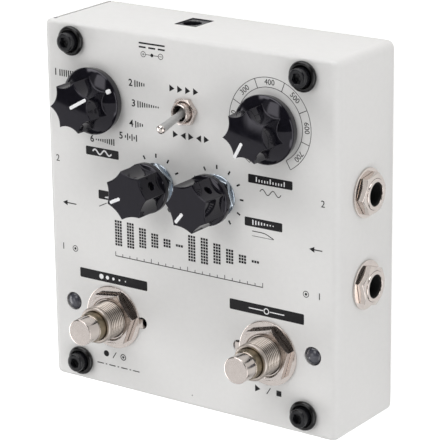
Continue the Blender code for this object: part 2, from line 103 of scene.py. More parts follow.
def spread(tree, value, low, high, src=(0.3, 0.7)):
    made = node(tree, "ShaderNodeMapRange")
    made.inputs["From Min"].default_value = src[0]
    made.inputs["From Max"].default_value = src[1]
    made.inputs["To Min"].default_value = low
    made.inputs["To Max"].default_value = high
    tree.links.new(value, made.inputs["Value"])
    return made.outputs["Result"]


def tinted(tree, value, dark, light):
    made = node(tree, "ShaderNodeMix", data_type="RGBA")
    made.inputs["A"].default_value = (*dark, 1)
    made.inputs["B"].default_value = (*light, 1)
    sockets = [s for s in made.inputs if s.type == "RGBA"]
    sockets[0].default_value = (*dark, 1)
    sockets[1].default_value = (*light, 1)
    tree.links.new(value, made.inputs[0])
    return [s for s in made.outputs if s.type == "RGBA"][0]


def surface(
    name,
    colour,
    rough,
    metal=0.0,
    vary=0.06,
    grain=900.0,
    rough_vary=0.05,
    rough_grain=350.0,
    bump=0.0,
    bump_grain=2500.0,
    stretch=None,
    specular=0.5,
    coat=0.0,
    coat_rough=0.1,
    spots=None,
    tint=None,
):
    """Principled material with a grained colour, a roughness that varies and a fine bump."""
    mat = bpy.data.materials.new(name)
    mat.use_nodes = True
    tree = mat.node_tree
    shader = tree.nodes["Principled BSDF"]
    coords = node(tree, "ShaderNodeTexCoord").outputs["Object"]
    dark = [c * (1 - vary) for c in colour]
    light = [min(1.0, c * (1 + vary)) for c in colour]
    colour_out = tinted(tree, spread(tree, noise(tree, coords, grain, stretch=stretch), 0, 1), dark, light)
    if spots:
        amount, scale, tone = spots
        mask = spread(tree, noise(tree, coords, scale, 2.0), 0, amount, (0.62, 0.72))
        mix = node(tree, "ShaderNodeMix", data_type="RGBA")
        rgba = [s for s in mix.inputs if s.type == "RGBA"]
        tree.links.new(mask, mix.inputs[0])
        tree.links.new(colour_out, rgba[0])
        rgba[1].default_value = (*tone, 1)
        colour_out = [s for s in mix.outputs if s.type == "RGBA"][0]
    tree.links.new(colour_out, shader.inputs["Base Color"])
    rough_out = spread(
        tree,
        noise(tree, coords, rough_grain, 4.0, stretch=stretch),
        max(0.02, rough - rough_vary),
        min(1.0, rough + rough_vary),
    )
    tree.links.new(rough_out, shader.inputs["Roughness"])
    shader.inputs["Metallic"].default_value = metal
    shader.inputs["Specular IOR Level"].default_value = specular
    if tint:
        shader.inputs["Specular Tint"].default_value = (*tint, 1)
    shader.inputs["Coat Weight"].default_value = coat
    shader.inputs["Coat Roughness"].default_value = coat_rough
    if bump:
        raised = node(tree, "ShaderNodeBump", Strength=bump, Distance=0.00005)
        tree.links.new(noise(tree, coords, bump_grain, 2.0, stretch=stretch), raised.inputs["Height"])
        tree.links.new(raised.outputs["Normal"], shader.inputs["Normal"])
    return mat


COAT = surface("powder_coat", (0.765, 0.76, 0.747), 0.42, vary=0.012, grain=700, bump=0.16, bump_grain=1500, rough_vary=0.06)
INK = surface("black_ink", (0.011, 0.0105, 0.012), 0.5, vary=0.25, grain=1800, bump=0.1, bump_grain=4000, specular=0.2)
SEAM = surface("seam_shadow", (0.27, 0.265, 0.26), 0.7, vary=0.2, grain=900, bump=0.1, specular=0.2)
PAINT = surface("white_paint", (0.86, 0.86, 0.87), 0.38, vary=0.03, grain=1500, bump=0.12, bump_grain=3000)
KNOB = surface("black_moulding", (0.0062, 0.0058, 0.0088), 0.06, vary=0.2, grain=600, rough_vary=0.02, rough_grain=500, bump=0.012, bump_grain=260, specular=0.42, tint=(0.93, 0.9, 1.0))
NICKEL = surface("nickel_plate", (0.74, 0.675, 0.635), 0.13, 1.0, vary=0.03, grain=500, rough_vary=0.04, rough_grain=800, bump=0.03, bump_grain=500)
NICKEL_SOFT = surface("nickel_satin", (0.68, 0.615, 0.58), 0.26, 1.0, vary=0.03, grain=500, rough_vary=0.04, rough_grain=800, bump=0.02, bump_grain=500)
NICKEL_DULL = surface("nickel_thread", (0.53, 0.475, 0.43), 0.37, 1.0, vary=0.05, grain=900, rough_vary=0.05, bump=0.03, bump_grain=900)
# Dark nickel for the roots of the footswitch threads: painted shade in the grooves.
THREAD_ROOT_SHADE = surface("thread_root_shade", (0.11, 0.09, 0.07), 0.35, 1.0, vary=0.1, grain=900, bump=0.05, bump_grain=900)
# Dark brown for the plunger's side below its cap: painted shade in the gap where the plunger rises from the neck,
# tinted brown for the reflection it shows.
PLUNGER_GAP_SHADE = surface("plunger_gap_shade", (0.26, 0.215, 0.15), 0.32, 1.0, vary=0.12, grain=700, rough_vary=0.08, bump=0.05, bump_grain=900)
BLUE_ZINC = surface("blue_zinc", (0.43, 0.48, 0.535), 0.24, 1.0, vary=0.05, grain=500, rough_vary=0.06, bump=0.05, bump_grain=700)
LEVER = surface("satin_lever", (0.50, 0.50, 0.495), 0.5, 0.6, vary=0.08, grain=1200, bump=0.2, bump_grain=2500)
ZINC = surface("zinc_plate", (0.52, 0.52, 0.49), 0.34, 1.0, vary=0.12, grain=140, rough_vary=0.1, bump=0.1, bump_grain=900)
STEEL = surface("spring_steel", (0.52, 0.51, 0.50), 0.25, 1.0, vary=0.08, grain=800, bump=0.05)
BLACK_STEEL = surface("black_oxide", (0.008, 0.008, 0.010), 0.24, 0.0, vary=0.3, grain=900, bump=0.08, bump_grain=1600, specular=0.4)
RUBBER = surface("black_rubber", (0.005, 0.0046, 0.0048), 0.24, vary=0.25, grain=900, bump=0.1, bump_grain=1800, specular=0.4)
FOOT_RUBBER = surface("foot_rubber", (0.022, 0.022, 0.022), 0.8, vary=0.2, grain=600, bump=0.4, bump_grain=1400)
INLET_CASE = surface("inlet_moulding", (0.012, 0.012, 0.016), 0.22, vary=0.2, grain=700, rough_vary=0.04, bump=0.04, bump_grain=900, specular=0.25)
# Near-black painted shadow for the sheet's cut faces round the power inlet opening.
INLET_GAP_SHADE = surface("inlet_gap_shade", (0.035, 0.034, 0.036), 0.6, vary=0.2, grain=900, bump=0.1, specular=0.2)
CASE = surface("black_nylon", (0.016, 0.016, 0.017), 0.45, vary=0.25, grain=700, bump=0.15, bump_grain=1500)
BORE = surface("socket_bore", (0.008, 0.008, 0.008), 0.6, vary=0.3, grain=900, bump=0.1)
SWITCH_CASE = surface("switch_case", (0.025, 0.05, 0.16), 0.4, vary=0.15, grain=500, bump=0.1)


def board_material():
    """Green solder mask with a darker and lighter pattern of tracks under it."""
    mat = bpy.data.materials.new("circuit_board")
    mat.use_nodes = True
    tree = mat.node_tree
    shader = tree.nodes["Principled BSDF"]
    coords = node(tree, "ShaderNodeTexCoord").outputs["Object"]
    brick = node(tree, "ShaderNodeTexBrick", Scale=180.0)
    brick.inputs["Color1"].default_value = (0.010, 0.085, 0.036, 1)
    brick.inputs["Color2"].default_value = (0.014, 0.110, 0.048, 1)
    brick.inputs["Mortar"].default_value = (0.030, 0.170, 0.075, 1)
    brick.inputs["Mortar Size"].default_value = 0.06
    tree.links.new(coords, brick.inputs["Vector"])
    tree.links.new(brick.outputs["Color"], shader.inputs["Base Color"])
    tree.links.new(spread(tree, noise(tree, coords, 400), 0.25, 0.4), shader.inputs["Roughness"])
    raised = node(tree, "ShaderNodeBump", Strength=0.2, Distance=0.00004)
    tree.links.new(brick.outputs["Fac"], raised.inputs["Height"])
    tree.links.new(raised.outputs["Normal"], shader.inputs["Normal"])
    return mat


def lens_material(name, centre):
    """Smoked resin: the die and its cup inside show as a lighter patch in the middle, painted into the colour, which
    also stands for the highlight they catch.
    """
    mat = bpy.data.materials.new(name)
    mat.use_nodes = True
    tree = mat.node_tree
    shader = tree.nodes["Principled BSDF"]
    coords = node(tree, "ShaderNodeTexCoord").outputs["Object"]
    away = node(tree, "ShaderNodeVectorMath", operation="DISTANCE")
    away.inputs[1].default_value = [c * MM for c in centre]
    tree.links.new(coords, away.inputs[0])
    # lighter towards the lens's middle: the die and cup, with their highlight painted in
    fade = spread(tree, away.outputs["Value"], 1.0, 0.0, (0.0003, 0.0026))
    mottled = node(tree, "ShaderNodeMath", operation="MULTIPLY")
    tree.links.new(fade, mottled.inputs[0])
    tree.links.new(spread(tree, noise(tree, coords, 900, 2.0), 0.45, 1.0), mottled.inputs[1])
    tree.links.new(tinted(tree, mottled.outputs[0], (0.038, 0.038, 0.050), (0.125, 0.128, 0.150)), shader.inputs["Base Color"])
    tree.links.new(spread(tree, noise(tree, coords, 500), 0.12, 0.2), shader.inputs["Roughness"])
    shader.inputs["Coat Weight"].default_value = 0.3
    shader.inputs["Coat Roughness"].default_value = 0.05
    return mat


BOARD = board_material()


# -------------------------------------------------------------------- shapes
def to_mesh(name, verts, faces, place=None):
    bm = bmesh.new()
    made = [bm.verts.new(Vector(v) * MM) for v in verts]
    for face in faces:
        bm.faces.new([made[i] for i in face])
    bmesh.ops.recalc_face_normals(bm, faces=bm.faces)
    if place is not None:
        bmesh.ops.transform(bm, matrix=place, verts=bm.verts)
    mesh = bpy.data.meshes.new(name)
    bm.to_mesh(mesh)
    bm.free()
    return mesh


def placed(at, turn=None):
    """Matrix that puts a local shape at a point in millimetres, after a turn."""
    move = Matrix.Translation(Vector(at) * MM)
    return move @ turn if turn is not None else move


def skin(rings, closed=False, tips=(None, None)):
    """Joins rings of equal count to a closed surface, as a tube's loop or with a point at each end."""
    n, m = len(rings[0]), len(rings)
    verts = [tuple(v) for ring in rings for v in ring]
    faces = []
    for i in range(m if closed else m - 1):
        a, b = i * n, ((i + 1) % m) * n
        faces += [(a + j, a + (j + 1) % n, b + (j + 1) % n, b + j) for j in range(n)]
    if not closed:
        for base, tip in ((0, tips[0]), ((m - 1) * n, tips[1])):
            ring = np.array(verts[base : base + n])
            point = ring.mean(0)
            if tip is not None:
                point[2] = tip
            c = len(verts)
            verts.append(tuple(point))
            faces += [(base + j, base + (j + 1) % n, c) for j in range(n)]
    return verts, faces


def circle(radius, z, n):
    a = np.arange(n) * math.tau / n
    return np.stack([radius * np.cos(a), radius * np.sin(a), np.full(n, z)], 1)


def turned(profile, n=96):
    """(radius, height) points revolved about Z: a tube's loop, or closed at points on the axis."""
    tips = [None, None]
    points = list(profile)
    if points[0][0] < 1e-6:
        tips[0] = points.pop(0)[1]
    if points[-1][0] < 1e-6:
        tips[1] = points.pop()[1]
    on_axis = tips[0] is not None
    return skin([circle(r, z, n) for r, z in points], not on_axis, tips)


def hex_radius(angles, across, phase):
    local = (angles - math.radians(phase)) % (math.pi / 3) - math.pi / 6
    return across / 2 / np.cos(local)


def around(radii, heights, angles):
    heights = np.broadcast_to(heights, radii.shape)
    return np.stack([radii * np.cos(angles), radii * np.sin(angles), heights], 1)


def hex_nut(across, phase, low, high, bore, flange=None, both=False, slope=0.55, lip=0.2, recess=None):
    """Hex nut whose corners are turned off in a cone, with a broken edge round its bore."""
    n = 144
    a = math.radians(phase) + np.arange(n) * math.tau / n
    corner = hex_radius(a, across, phase)
    flat = across / 2 * 0.985
    full = np.ones(n)
    drop = (corner - flat) * slope
    rings = []
    if flange:
        radius, thick = flange
        rings += [around(bore * full, low, a), around((radius - 0.12) * full, low, a), around(radius * full, low + 0.1, a)]
        rings += [around(radius * full, low + thick - 0.12, a), around((radius - 0.12) * full, low + thick, a), around(corner, low + thick, a)]
    elif both:
        rings += [around((bore + 0.3) * full, low, a), around(flat * full, low, a), around(corner, low + drop, a)]
    else:
        rings += [around(bore * full, low, a), around(corner - 0.1, low, a), around(corner, low + 0.1, a)]
    rings += [around(corner, high - drop - 0.04, a), around(corner - 0.05, high - drop + 0.02, a)]
    rings += [around((flat - 0.02) * full, high - 0.02, a), around((flat - 0.18) * full, high, a)]
    if recess:
        radius, depth = recess
        rings += [around(radius * full, high, a), around((radius - 0.08) * full, high - 0.03, a), around((radius - depth) * full, high - depth, a)]
        high -= depth
    rings += [around((bore + lip) * full, high, a), around((bore + lip / 4) * full, high - lip * 0.6, a), around(bore * full, high - lip * 1.1, a)]
    return skin(rings, closed=True)


def threaded(radius, low, high, pitch, depth, n=96, per=8):
    """Rings of a single-start thread that fades in and out at its ends."""
    a = np.arange(n) * math.tau / n
    rings = []
    steps = int(round((high - low) / pitch * per))
    for i in range(steps + 1):
        z = low + (high - low) * i / steps
        phase = (z / pitch - a / math.tau) % 1.0
        groove = np.abs(phase - 0.5) * 2.0
        groove = np.clip((groove - 0.18) / 0.82, 0, 1)
        fade = min(1.0, (z - low) / pitch, (high - z) / pitch)
        rings.append(around(radius - depth * fade * groove, z, a))
    return rings


def coil(radius, wire, low, high, turns, per=32, sides=12):
    """Compression spring, a round wire whose end turns lie closer than its middle ones."""
    steps = int(turns * per)
    pitch = np.array([0.45 if min(i, steps - i) < 0.8 * per else 1.0 for i in range(steps)])
    rise = np.concatenate([[0.0], np.cumsum(pitch)])
    heights = low + wire + (high - low - 2 * wire) * rise / rise[-1]
    b = np.arange(sides) * math.tau / sides
    verts, faces = [], []
    for i, z in enumerate(heights):
        a = math.tau * i / per
        reach = radius + wire * np.cos(b)
        verts += [(r * math.cos(a), r * math.sin(a), z + wire * math.sin(k)) for r, k in zip(reach, b)]
    for i in range(steps):
        for k in range(sides):
            here, beside = i * sides + k, i * sides + (k + 1) % sides
            faces.append((here, beside, beside + sides, here + sides))
    faces.append(tuple(range(sides))[::-1])
    faces.append(tuple(range(steps * sides, (steps + 1) * sides)))
    return verts, faces


def lobe_angles(per):
    """Angles round the knob, crowded near each ridge."""
    half = math.pi / LOBES
    out = []
    for lobe in range(LOBES):
        facing = (2 * lobe + 1) * half
        out += [facing + half * math.sin(math.pi / 2 * (2 * k / per - 1)) for k in range(per)]
    return np.array(out)


def lobe_radii(angles, radius, flute, ease=0.1):
    """Distance to the fluted outline: hollow arcs that meet in softened ridges."""
    half = math.pi / LOBES
    chord, span = radius * math.cos(half), radius * math.sin(half)
    arc = (span * span + flute * flute) / (2 * flute)
    centre = chord - flute + arc
    off = (angles + half) % (2 * half) - half
    off = (angles - half + half) % (2 * half) - half
    reach = centre * np.cos(off) - np.sqrt(np.maximum(arc**2 - (centre * np.sin(off)) ** 2, 0))
    limit = radius - ease * 0.3
    return -ease * np.log(np.exp(-(reach - limit) / ease) + 1.0) + limit


def solid(name, mesh):
    obj = bpy.data.objects.new(name, mesh)
    bpy.context.scene.collection.objects.link(obj)
    return obj


def settle(obj):
    """Makes the modifiers' result the object's own mesh."""
    graph = bpy.context.evaluated_depsgraph_get()
    mesh = bpy.data.meshes.new_from_object(obj.evaluated_get(graph))
    old = obj.data
    obj.modifiers.clear()
    obj.data = mesh
    mesh.name = obj.name
    if old.users == 0:
        bpy.data.meshes.remove(old)
    return obj


def cut(obj, *shapes, operation="DIFFERENCE"):
    """Boolean with loose shapes that don't touch each other."""
    bm = bmesh.new()
    for verts, faces, place in shapes:
        bm.from_mesh(to_mesh("cutter", verts, faces, place))
    mesh = bpy.data.meshes.new(obj.name + "_cutter")
    bm.to_mesh(mesh)
    bm.free()
    cutter = solid(obj.name + "_cutter", mesh)
    modifier = obj.modifiers.new("cut", "BOOLEAN")
    modifier.operation = operation
    modifier.solver = "EXACT"
    modifier.object = cutter
    settle(obj)
    bpy.data.objects.remove(cutter, do_unlink=True)
    return obj


def soften(obj, width, segments=2, angle=30):
    bevel = obj.modifiers.new("edges", "BEVEL")
    bevel.width = width * MM
    bevel.segments = segments
    bevel.limit_method = "ANGLE"
    bevel.angle_limit = math.radians(angle)
    return settle(obj)


def piece(obj, body, materials, slot, nodes=(), sharp=32, weighted=True):
    mesh = obj.data
    for polygon in mesh.polygons:
        polygon.use_smooth = True
    mesh.set_sharp_from_angle(angle=math.radians(sharp))
    if weighted:
        normals = obj.modifiers.new("normals", "WEIGHTED_NORMAL")
        normals.keep_sharp = True
        normals.weight = 50
    mesh.materials.clear()
    for material in materials if isinstance(materials, (list, tuple)) else [materials]:
        mesh.materials.append(material)
    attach(obj, body)
    if nodes:
        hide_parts(*nodes)
    return obj


def make(name, shape, place, body, materials, slot, nodes=(), **options):
    verts, faces = shape
    return piece(solid(name, to_mesh(name, verts, faces, place)), body, materials, slot, nodes, **options)


def block(lo, hi):
    verts = [(x, y, z) for z in (lo[2], hi[2]) for y in (lo[1], hi[1]) for x in (lo[0], hi[0])]
    return verts, [(0, 1, 3, 2), (4, 5, 7, 6), (0, 1, 5, 4), (2, 3, 7, 6), (0, 2, 6, 4), (1, 3, 7, 5)]


def rod(radius, low, high, n=64):
    return skin([circle(radius, low, n), circle(radius, high, n)])


# ----------------------------------------------------------------- enclosure
def enclosure():
    """Folded cover with rounded bends, its holes cut clean."""
    bm = bmesh.new()
    bmesh.ops.create_cube(bm, size=1.0)
    bmesh.ops.scale(bm, vec=(WIDTH * MM, LENGTH * MM, HEIGHT * MM), verts=bm.verts)
    bmesh.ops.translate(bm, vec=(0, 0, (FEET + HEIGHT / 2) * MM), verts=bm.verts)
    bmesh.ops.delete(bm, geom=[f for f in bm.faces if f.normal.z < -0.5], context="FACES_ONLY")
    layer = bm.edges.layers.float.new("bevel_weight_edge")
    for edge in bm.edges:
        a, b = edge.verts
        if min(a.co.z, b.co.z) > TOP * MM - 1e-5:
            edge[layer] = 1.0 if abs(a.co.y - b.co.y) > 1e-4 else END_BEND / BEND
        elif abs(a.co.z - b.co.z) > 1e-4:
            edge[layer] = CORNER / BEND
    mesh = bpy.data.meshes.new("cover")
    bm.to_mesh(mesh)
    bm.free()
    shell = solid("cover", mesh)
    bends = shell.modifiers.new("bends", "BEVEL")
    bends.limit_method = "WEIGHT"
    bends.width = BEND * MM
    bends.segments = 10
    sheet = shell.modifiers.new("sheet", "SOLIDIFY")
    sheet.thickness = WALL * MM
    sheet.offset = -1.0
    sheet.use_even_offset = True
    settle(shell)

    def through(radius, x, y, n=72):
        return (*rod(radius, UNDER - 1.5, TOP + 1.5, n), placed((x, y, 0)))

    holes = [
        through(4.6, *SELECTOR),
        through(4.6, *DIAL),
        through(4.6, *MIX),
        through(4.6, *FEEDBACK),
        through(3.3, *TOGGLE, 48),
        (
            *block(
                (INLET_X - INLET_W / 2 - 0.15, END - 4, INLET_Z - INLET_H / 2 - 0.15),
                (INLET_X + INLET_W / 2 + 0.15, END + 4, INLET_Z + INLET_H / 2 + 0.15),
            ),
            placed((0, 0, 0)),
        ),
    ]
    for side, s in SIDES:
        holes.append(through(6.3, s * SWITCH_X, SWITCH_Y))
        holes.append(through(1.9, s * (SWITCH_X - TAB_OFFSET), SWITCH_Y, 48))
        holes.append(through(3.0, s * LED_X, LED_Y, 64))
        for row in JACK_Y:
            holes.append(through(1.9, s * SCREW_X, SCREW_Y[row], 32))
            holes.append((*rod(5.1, SIDE - 4, SIDE + 4), placed((0, JACK_Y[row], JACK_Z), Matrix.Rotation(math.radians(90 * s), 4, "Y"))))
    # the side flange wraps each of two opposite corners and meets the end in a fine seam
    for s in (1, -1):
        flip = Matrix.Rotation(0 if s > 0 else math.pi, 4, "Z")
        holes.append((*block((-SEAM_X - 0.22, END - 0.9, FEET - 1), (-SEAM_X + 0.22, END + 1, 31.0)), flip))
    cut(shell, *holes)
    notches = []
    for s in (1, -1):
        flip = Matrix.Rotation(0 if s > 0 else math.pi, 4, "Z")
        aim = flip @ placed((-SEAM_X, END, 31.1), Matrix.Rotation(math.radians(-90), 4, "X"))
        notches.append((*rod(0.6, -1.0, 1.0, 20), aim))
    cut(shell, *notches)
    piece(shell, HOUSING, [COAT, SEAM, INLET_GAP_SHADE], "cover", ["enclosure_shell"], sharp=35)
    for polygon in shell.data.polygons:
        spot = polygon.center / MM
        across, deep = -spot.x * (1 if spot.y > 0 else -1), END - abs(spot.y)
        groove = SEAM_X - 0.3 < across < SEAM_X + 0.3 and spot.z < 31.2
        notch = SEAM_X - 0.85 < across < SEAM_X + 0.85 and 30.2 < spot.z < 32.0
        if 0.03 < deep < 1.05 and (groove or notch):
            polygon.material_index = 1
        # The sheet's cut faces round the power inlet take the near-black painted shadow of the gap.
        inlet = abs(spot.x - INLET_X) < INLET_W / 2 + 0.2 and abs(spot.z - INLET_Z) < INLET_H / 2 + 0.2
        if inlet and spot.y > 0 and 0.03 < deep < WALL - 0.03:
            polygon.material_index = 2

    for row, y in (("rear", 46.0), ("front", -46.0)):
        for side, s in SIDES:
            profile = [(0, 0.45), (1.7, 0.45), (1.9, 0.3), (2.0, 0.05), (2.15, 0), (4.9, 0), (5.2, 0.12), (5.5, 0.5), (5.6, 0.8), (5.6, 1.75), (5.5, 1.9), (0, 1.9)]
            make(f"foot_{side}_{row}_rubber", turned(profile), placed((s * 43.0, y, 0)), HOUSING, FOOT_RUBBER, "feet", [f"foot_{row}_{side}"])


def corner_fixings():
    n = 96
    a = np.arange(n) * math.tau / n
    full = np.ones(n)
    for side, s in SIDES:
        for row, y in SCREW_Y.items():
            at = placed((s * SCREW_X, y, TOP))
            cup = [
                (3.62, 2.0), (3.85, 2.06), (4.1, 2.0), (4.4, 1.8), (4.65, 1.5), (4.74, 1.2), (4.7, 0.95), (4.45, 0.4), (4.3, 0.12), (4.22, 0.1),
                (1.95, 0.1), (1.95, 1.2), (3.3, 1.2), (3.42, 1.3), (3.5, 1.7),
            ]
            make(f"cup_{row}_{side}", turned(cup), at, HOUSING, RUBBER, "cup_washers", [f"cup_washer_{row}_{side}"], sharp=40)
            hexed = hex_radius(a, 3.0, 10)
            rings = threaded(1.5, -12.0, 0.8, 0.7, 0.12, n)
            rings += [circle(1.5, 1.25, n), circle(2.6, 1.3, n), circle(2.85, 1.35, n), circle(2.98, 1.5, n), circle(3.0, 1.7, n)]
            rings += [circle(3.0, 4.05, n), circle(2.96, 4.2, n), circle(2.78, 4.42, n), circle(2.6, 4.5, n), circle(2.1, 4.5, n)]
            rings += [around(hexed + 0.14, 4.5, a), around(hexed, 4.36, a), around(hexed, 2.7, a)]
            make(f"cap_screw_{row}_{side}", skin(rings, tips=(-12.2, 2.2)), at, HOUSING, BLACK_STEEL, "black_screws", [f"corner_screw_{row}_{side}"], sharp=38)


# --------------------------------------------------------------------- knobs
def big_knob(name, at, angle, body, node_name):
    """Bell-shaped skirt with an upright rim, under a column with seven hollow flutes."""
    a = lobe_angles(26)
    full = np.ones(len(a))

    def column(radius):
        return lobe_radii(a, radius, 1.2)

    def bell(radii):
        out = radii - 7.2
        return 5.5 - 0.36 * out - 0.0556 * out**2

    rings = [
        around(3.3 * full, 11.0, a), around(3.3 * full, 3.2, a), around(7.0 * full, 3.0, a), around(7.4 * full, 0.6, a),
        around(9.95 * full, 0.6, a), around(10.12 * full, 0.64, a), around(10.2 * full, 0.78, a), around(10.45 * full, 2.0, a),
        around(10.66 * full, 3.0, a), around(10.7 * full, 3.22, a), around(10.68 * full, 3.4, a), around(10.6 * full, 3.55, a),
        around(10.48 * full, 3.67, a), around(10.34 * full, bell(10.34) + 0.01, a),
    ]
    foot = column(8.4)
    for t in (0.25, 0.5, 0.75):
        radii = 10.34 + (foot + 0.3 - 10.34) * t
        rings.append(around(radii, bell(radii), a))
    for degrees in (-18, 0, 20, 40, 60):
        t = math.radians(degrees)
        rings.append(around(foot + 0.3 * (1 - math.sin(t)), bell(foot + 0.3 * (1 - math.sin(t))) + 0.3 * (1 - math.cos(t)) * (degrees > 0), a))
    crown = column(8.35)
    base, top = bell(foot) + 0.3, crown_height(crown) - 0.3
    for t in (0.0, 0.35, 0.7, 1.0):
        rings.append(around(column(8.4 - 0.05 * t), base * (1 - t) + top * t, a))
    rings += [around(crown - 0.05, crown_height(crown) - 0.14, a), around(crown - 0.16, crown_height(crown) - 0.03, a)]
    rings += [around(crown - 0.3, crown_height(crown - 0.3), a), around(crown - 0.45, crown_height(crown - 0.45), a)]
    for t in (0.8, 0.6, 0.4, 0.2):
        rings.append(around(crown * t, crown_height(crown * t), a))
    turn = Matrix.Rotation(math.radians(angle), 4, "Z")
    return make(name, skin(rings, tips=(11.0, crown_height(0))), placed((*at, TOP), turn), body, KNOB, "knobs", [node_name], sharp=50)


def crown_height(radii):
    """The big knobs' tops fall away by a fifth of a millimetre at their edges."""
    return 13.28 - 0.0032 * radii**2


def small_knob(name, at, angle, body, node_name):
    """Seven flat-hollowed sides over a round base, with a grub screw opposite the pointer."""
    a = lobe_angles(26)
    full = np.ones(len(a))
    outline = lobe_radii(a, 7.98, 0.6)
    ledge = 6.45 + (8.0 - outline) * 0.42
    rings = [
        around(3.3 * full, 13.0, a), around(3.3 * full, 4.5, a), around(7.75 * full, 4.5, a), around(7.93 * full, 4.58, a),
        around(8.0 * full, 4.75, a), around(8.0 * full, 6.05, a), around(7.985 * full, 6.3, a),
    ]
    for t in (0.35, 0.75):
        radii = 7.95 + (outline + 0.12 - 7.95) * t
        rings.append(around(radii, 6.45 + (8.0 - radii) * 0.42, a))
    rings += [around(outline + 0.08, ledge, a), around(outline + 0.01, ledge + 0.08, a)]
    for t in (0.05, 0.5, 1.0):
        rings.append(around(outline, (ledge + 0.15) * (1 - t) + 15.74 * t, a))
    rings += [around(outline - 0.05, 15.88, a), around(outline - 0.16, 15.97, a), around(outline - 0.3, 16.0, a)]
    rings += [around(outline - 0.48, 16.0, a), around(outline * 0.45, 16.0, a)]
    turn = placed((*at, TOP), Matrix.Rotation(math.radians(angle), 4, "Z"))
    verts, faces = skin(rings, tips=(13.0, 16.0))
    knob = solid(name, to_mesh(name, verts, faces, turn))
    aim = turn @ Matrix.Translation(Vector((0, 0, 10.7)) * MM) @ Matrix.Rotation(math.radians(180), 4, "Z") @ Matrix.Rotation(math.radians(90), 4, "Y")
    hole = turned([(0, 3.0), (1.3, 3.0), (1.3, 6.45), (1.5, 6.75), (1.5, 9.0), (0, 9.0)], 48)
    cut(knob, (*hole, aim))
    piece(knob, body, KNOB, "knobs", [node_name], sharp=50)
    n = 48
    b = np.arange(n) * math.tau / n
    hexed = hex_radius(b, 1.25, 0)
    grub = [circle(0.9, 3.35, n), circle(1.2, 3.5, n), circle(1.2, 5.1, n), circle(1.1, 5.25, n), around(hexed + 0.05, 5.25, b), around(hexed, 5.2, b), around(hexed, 4.2, b)]
    make(name + "_grub", skin(grub, tips=(3.3, 4.1)), aim, body, BLACK_STEEL, "black_screws")
    return knob


def bar_outline(length, width, rounding=0.3, steps=5):
    """Rounded rectangle round the origin."""
    out = []
    x, y = length / 2 - rounding, width / 2 - rounding
    for cx, cy, start in ((x, y, 0), (-x, y, 90), (-x, -y, 180), (x, -y, 270)):
        for k in range(steps + 1):
            t = math.radians(start + 90 * k / steps)
            out.append((cx + rounding * math.cos(t), cy + rounding * math.sin(t)))
    return out


def plate_shape(outline, low, high):
    return skin([np.array([(x, y, z) for x, y in outline]) for z in (low, high)])


def pointer(name, at, angle, inner, outer, width, top, body, domed=False):
    """Painted line in the top of a knob, standing a hair above it."""
    rings = []
    for z, grow in ((-0.2, 0), (0.03, 0), (0.06, -0.12)):
        ring = []
        for x, y in bar_outline(outer - inner + grow, width + grow, width / 2 - 0.08, 8):
            x += (inner + outer) / 2
            ring.append((x, y, z + (crown_height(math.hypot(x, y)) if domed else top)))
        rings.append(np.array(ring))
    make(name, skin(rings), placed((*at, TOP), Matrix.Rotation(math.radians(angle), 4, "Z")), body, PAINT, "knobs", weighted=False)


def knobs():
    big_knob("selector_cap", SELECTOR, 30.0, "selector", "selector_knob")
    pointer("selector_line", SELECTOR, 30.0, -0.3, 6.9, 1.05, 13.2, "selector", True)
    outline = bar_outline(1.55, 1.4, 0.4, 5)
    rings = [np.array([(x * k, y * k, z) for x, y in outline]) for z, k in ((-0.5, 1.0), (0.1, 1.0), (0.17, 0.95), (0.19, 0.8))]
    tilt = Matrix.Rotation(math.radians(28.5), 4, "Z") @ Matrix.Translation(Vector((9.25, 0, 4.55)) * MM) @ Matrix.Rotation(math.radians(30), 4, "Y")
    make("selector_mark", skin(rings), placed((*SELECTOR, TOP), tilt), "selector", PAINT, "knobs")
    big_knob("dial_cap", DIAL, 240.0, "beat_dial", "beat_knob")
    pointer("dial_line", DIAL, 240.0, 2.2, 7.95, 1.05, 13.2, "beat_dial", True)
    small_knob("mix_cap", MIX, 206.0, "mix", "mix_knob")
    pointer("mix_line", MIX, 206.0, 2.5, 6.7, 1.05, 16.0, "mix")
    small_knob("feedback_cap", FEEDBACK, 230.0, "feedback", "feedback_knob")
    pointer("feedback_line", FEEDBACK, 230.0, 2.5, 6.7, 1.05, 16.0, "feedback")
    for name, at, phase in (("mix", MIX, 20), ("feedback", FEEDBACK, 46)):
        make(f"{name}_hex_nut", hex_nut(12.2, phase, 0.1, 2.1, 4.5, flange=(6.7, 0.5)), placed((*at, TOP)), HOUSING, BLUE_ZINC, "nickel", [f"{name}_nut"])
    for name, at, phase in (("selector", SELECTOR, 0), ("beat", DIAL, 12)):
        make(f"{name}_hex_nut", hex_nut(11.5, phase, 0.1, 2.1, 4.5), placed((*at, TOP)), HOUSING, NICKEL, "nickel", [f"{name}_nut"])


